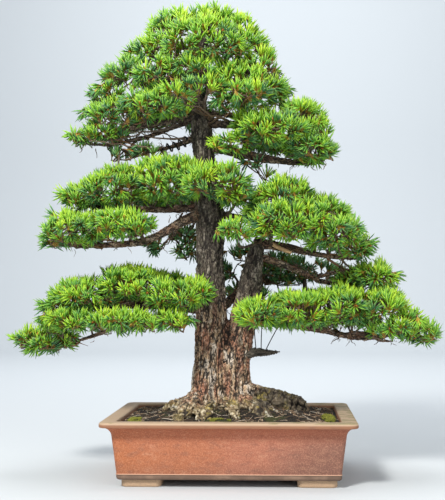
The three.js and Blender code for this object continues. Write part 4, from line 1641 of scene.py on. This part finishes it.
@dataclass
class Studio:
    """Pale floor and backdrop, soft daylight, and the camera."""

    camera_place: tuple[float, float, float] = (0.110, -1.925, 0.378)
    yaw: float = 1.7
    pitch: float = 1.2
    lens: float = 65.6
    shift: tuple[float, float] = (-0.0708, 0.0508)
    floor_colour: Colour = (0.57, 0.60, 0.62)
    reach: float = 9.0
    back: float = 5.5
    bend: float = 1.6
    top: float = 6.5

    def camera(self, pot: Pot) -> None:
        """Places the camera, measured from the middle of the pot's base.

        Args:
            pot: the pot that the tree stands in.
        """
        lens = bpy.data.cameras.new("camera")
        lens.lens = self.lens
        lens.sensor_width = 36
        lens.shift_x, lens.shift_y = self.shift
        eye = linked(lens, "camera")
        eye.location = pot.centre() + Vector(self.camera_place)
        eye.rotation_euler = (math.radians(90 + self.pitch), 0, math.radians(self.yaw))
        bpy.context.scene.camera = eye

    def stage(self) -> None:
        """Makes the floor that sweeps up into a backdrop."""
        profile = [(-self.reach, 0.0)]
        for turn in range(13):
            angle = math.pi / 2 * turn / 12
            rise = self.bend - self.bend * math.cos(angle)
            profile.append((self.back - self.bend + self.bend * math.sin(angle), rise))
        profile.append((self.back, self.top))
        points = [(x, y, z) for x in (-self.reach, self.reach) for y, z in profile]
        count = len(profile)
        faces = [(i, i + 1, count + i + 1, count + i) for i in range(count - 1)]
        mesh = bpy.data.meshes.new("studio_sweep")
        mesh.from_pydata(points, [], faces)
        mesh.shade_smooth()
        paint = Paint("studio_paper", Roughness=0.9)
        paint.shader.inputs["Base Color"].default_value = (*self.floor_colour, 1.0)
        mesh.materials.append(paint.material)
        sweep = linked(mesh, "studio_sweep")

    def light(self) -> None:
        """Sets the sky and the soft square lamps."""
        world = bpy.data.worlds.new("studio_sky")
        world.use_nodes = True
        sky = world.node_tree.nodes["Background"]
        sky.inputs["Color"].default_value = (0.86, 0.92, 1.0, 1.0)
        sky.inputs["Strength"].default_value = 0.55
        bpy.context.scene.world = world
        tree, wall = (0, 0, 0.5), (0, 5.5, 1.2)
        for name, place, aim, size, power, colour in (
            ("key_lamp", (-1.1, -2.2, 2.5), tree, 0.6, 118, (1.0, 0.98, 0.94)),
            ("fill_lamp", (1.8, -2.0, 1.2), tree, 1.8, 25, (1.0, 0.97, 0.92)),
            ("top_lamp", (0.2, 0.2, 2.8), tree, 1.2, 27, (1.0, 1.0, 1.0)),
            ("backdrop_lamp", (0, 2.2, 3.4), wall, 3.0, 120, (0.96, 0.98, 1.0)),
        ):
            light = bpy.data.lights.new(name, "AREA")
            light.size = size
            light.energy = power
            light.color = colour
            lamp = linked(light, name)
            lamp.location = place
            lamp.rotation_euler = (Vector(aim) - Vector(place)).to_track_quat("-Z", "Y").to_euler()
        bpy.context.scene.view_settings.view_transform = "Standard"


# ---- The whole tree


def nodes_named(start: str) -> list[str]:
    """CAD nodes whose names begin in one way, in order."""
    return sorted(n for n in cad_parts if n.startswith(start))


@dataclass
class Tree:
    """Trunk, branches, stubs and needle pads."""

    branches: list[str] = field(default_factory=lambda: nodes_named("branch_"))
    pads: list[str] = field(default_factory=lambda: nodes_named("pad_"))
    manners: dict[str, dict[str, float]] = field(default_factory=lambda: {
        "pad_apex": {"light": 0.50, "gaps": 0.30},
        "pad_back": {"light": 0.30, "gaps": 0.20},
        "pad_crown_front": {"light": 0.46, "density": 0.62, "gaps": 0.24, "runners": 8},
        "pad_crown_left": {"light": 0.36, "density": 0.72, "gaps": 0.24, "runners": 8},
        "pad_crown_right": {"light": 0.52, "density": 0.85, "gaps": 0.22, "runners": 4},
        "pad_middle_left_hanging": {"light": 0.40, "density": 0.85, "gaps": 0.20, "runners": 6},
        "pad_middle_left_upper": {"runners": 10},
        "pad_middle_right": {"runners": 14},
        "pad_lower_right": {"runners": 7},
        "pad_middle_left_lower": {"runners": 14},
        "pad_upper_left": {"light": 0.36, "gaps": 0.26, "runners": 18, "runner_reach": 0.19},
        "pad_upper_left_small": {"light": 0.30, "density": 0.7},
        "pad_upper_right": {"light": 0.52, "runners": 6},
        "pad_upper_right_under": {"light": 0.30, "density": 0.6},
    })
    shaded: tuple[str, ...] = (
        "pad_back", "pad_middle_left_hanging", "pad_upper_right_under", "pad_upper_left_small",
    )
    thin_trunk: float = 0.80  # height above which twigs grow straight from the trunk

    def wood(self) -> list[Object]:
        """Builds the trunk, the branches and the two stubs.

        Returns:
            The wooden pieces, the trunk first.
        """
        trunk_tree = tree_of_nodes(["trunk_and_roots"])
        wood_tree = tree_of_nodes(["trunk_and_roots", *self.branches])
        trunk = Limb(
            "trunk_and_roots", "bark", voxel=2.1 * MM, smoothing=8, plate=10 * MM, depth=3.2 * MM,
            grain=Grain.UPRIGHT, root_height=168 * MM,
        )
        made = [trunk.build(TRUNK_BARK.material())]
        bark = BRANCH_BARK.material()
        made += [Limb(node, "branch_bark").build(bark, trunk_tree) for node in self.branches]
        dead = Limb("dead_stub", "dead_wood", voxel=1.2 * MM, smoothing=4, plate=7 * MM, depth=3.4 * MM)
        made.append(dead.build(DEAD_WOOD.material(), trunk_tree))
        cut = Limb("cut_stub", "cut_wood", voxel=1.2 * MM, plate=8 * MM, depth=0.5 * MM)
        made.append(cut.build(CUT_WOOD.material(), wood_tree))
        return made

    def needles(self) -> list[Object]:
        """Builds every needle pad, and the dry twigs.

        Returns:
            The pads and the twigs.
        """
        bright, shaded = NEEDLE_STRIPS.material(), SHADE_STRIPS.material()
        trunk = points_of(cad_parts["trunk_and_roots"].data)
        starts = [points_of(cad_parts[n].data) for n in self.branches]
        starts = np.concatenate([*starts, trunk[trunk[:, 2] > self.thin_trunk]])
        made = []
        for seed, node in enumerate(self.pads, start=11):
            others = tree_of_nodes(["trunk_and_roots", *[p for p in self.pads if p != node]])
            pad = Pad(node, **self.manners.get(node, {}))
            made.append(pad.build(shaded if node in self.shaded else bright, starts, others, seed))
        made.append(DryTwigs().build(self.branches, bright))
        return made


def main() -> None:
    """Builds the studio, the pot, the ground and the tree."""
    logging.basicConfig(level=logging.INFO, format="%(message)s")
    pot, studio, ground, tree = Pot(), Studio(), Ground(), Tree()
    studio.camera(pot)
    studio.stage()
    studio.light()
    log.info("built %s", pot.build().name)
    wood = tree.wood()
    log.info("built %d pieces of wood", len(wood))
    soil = ground.soil()
    litter = ground.scatter(tree_of([soil.data, wood[0].data]), np.random.default_rng(5))
    log.info("built %s and %s", soil.name, litter.name)
    moss_ground, moss_blades = MOSS_EARTH.material(), MOSS_STRIPS.material()
    for seed, node in enumerate(nodes_named("moss_"), start=70):
        front = {"blades": 900, "bare": 0.12} if node == "moss_front" else {}
        log.info("built %s", Moss(node, **front).build(moss_ground, moss_blades, seed).name)
    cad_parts["drainage_grit"].material_slots[0].material = GRIT_EARTH.material()
    Wires().dress()
    log.info("built %d needle pads and twigs", len(tree.needles()))


if __name__ == "__main__":
    main()
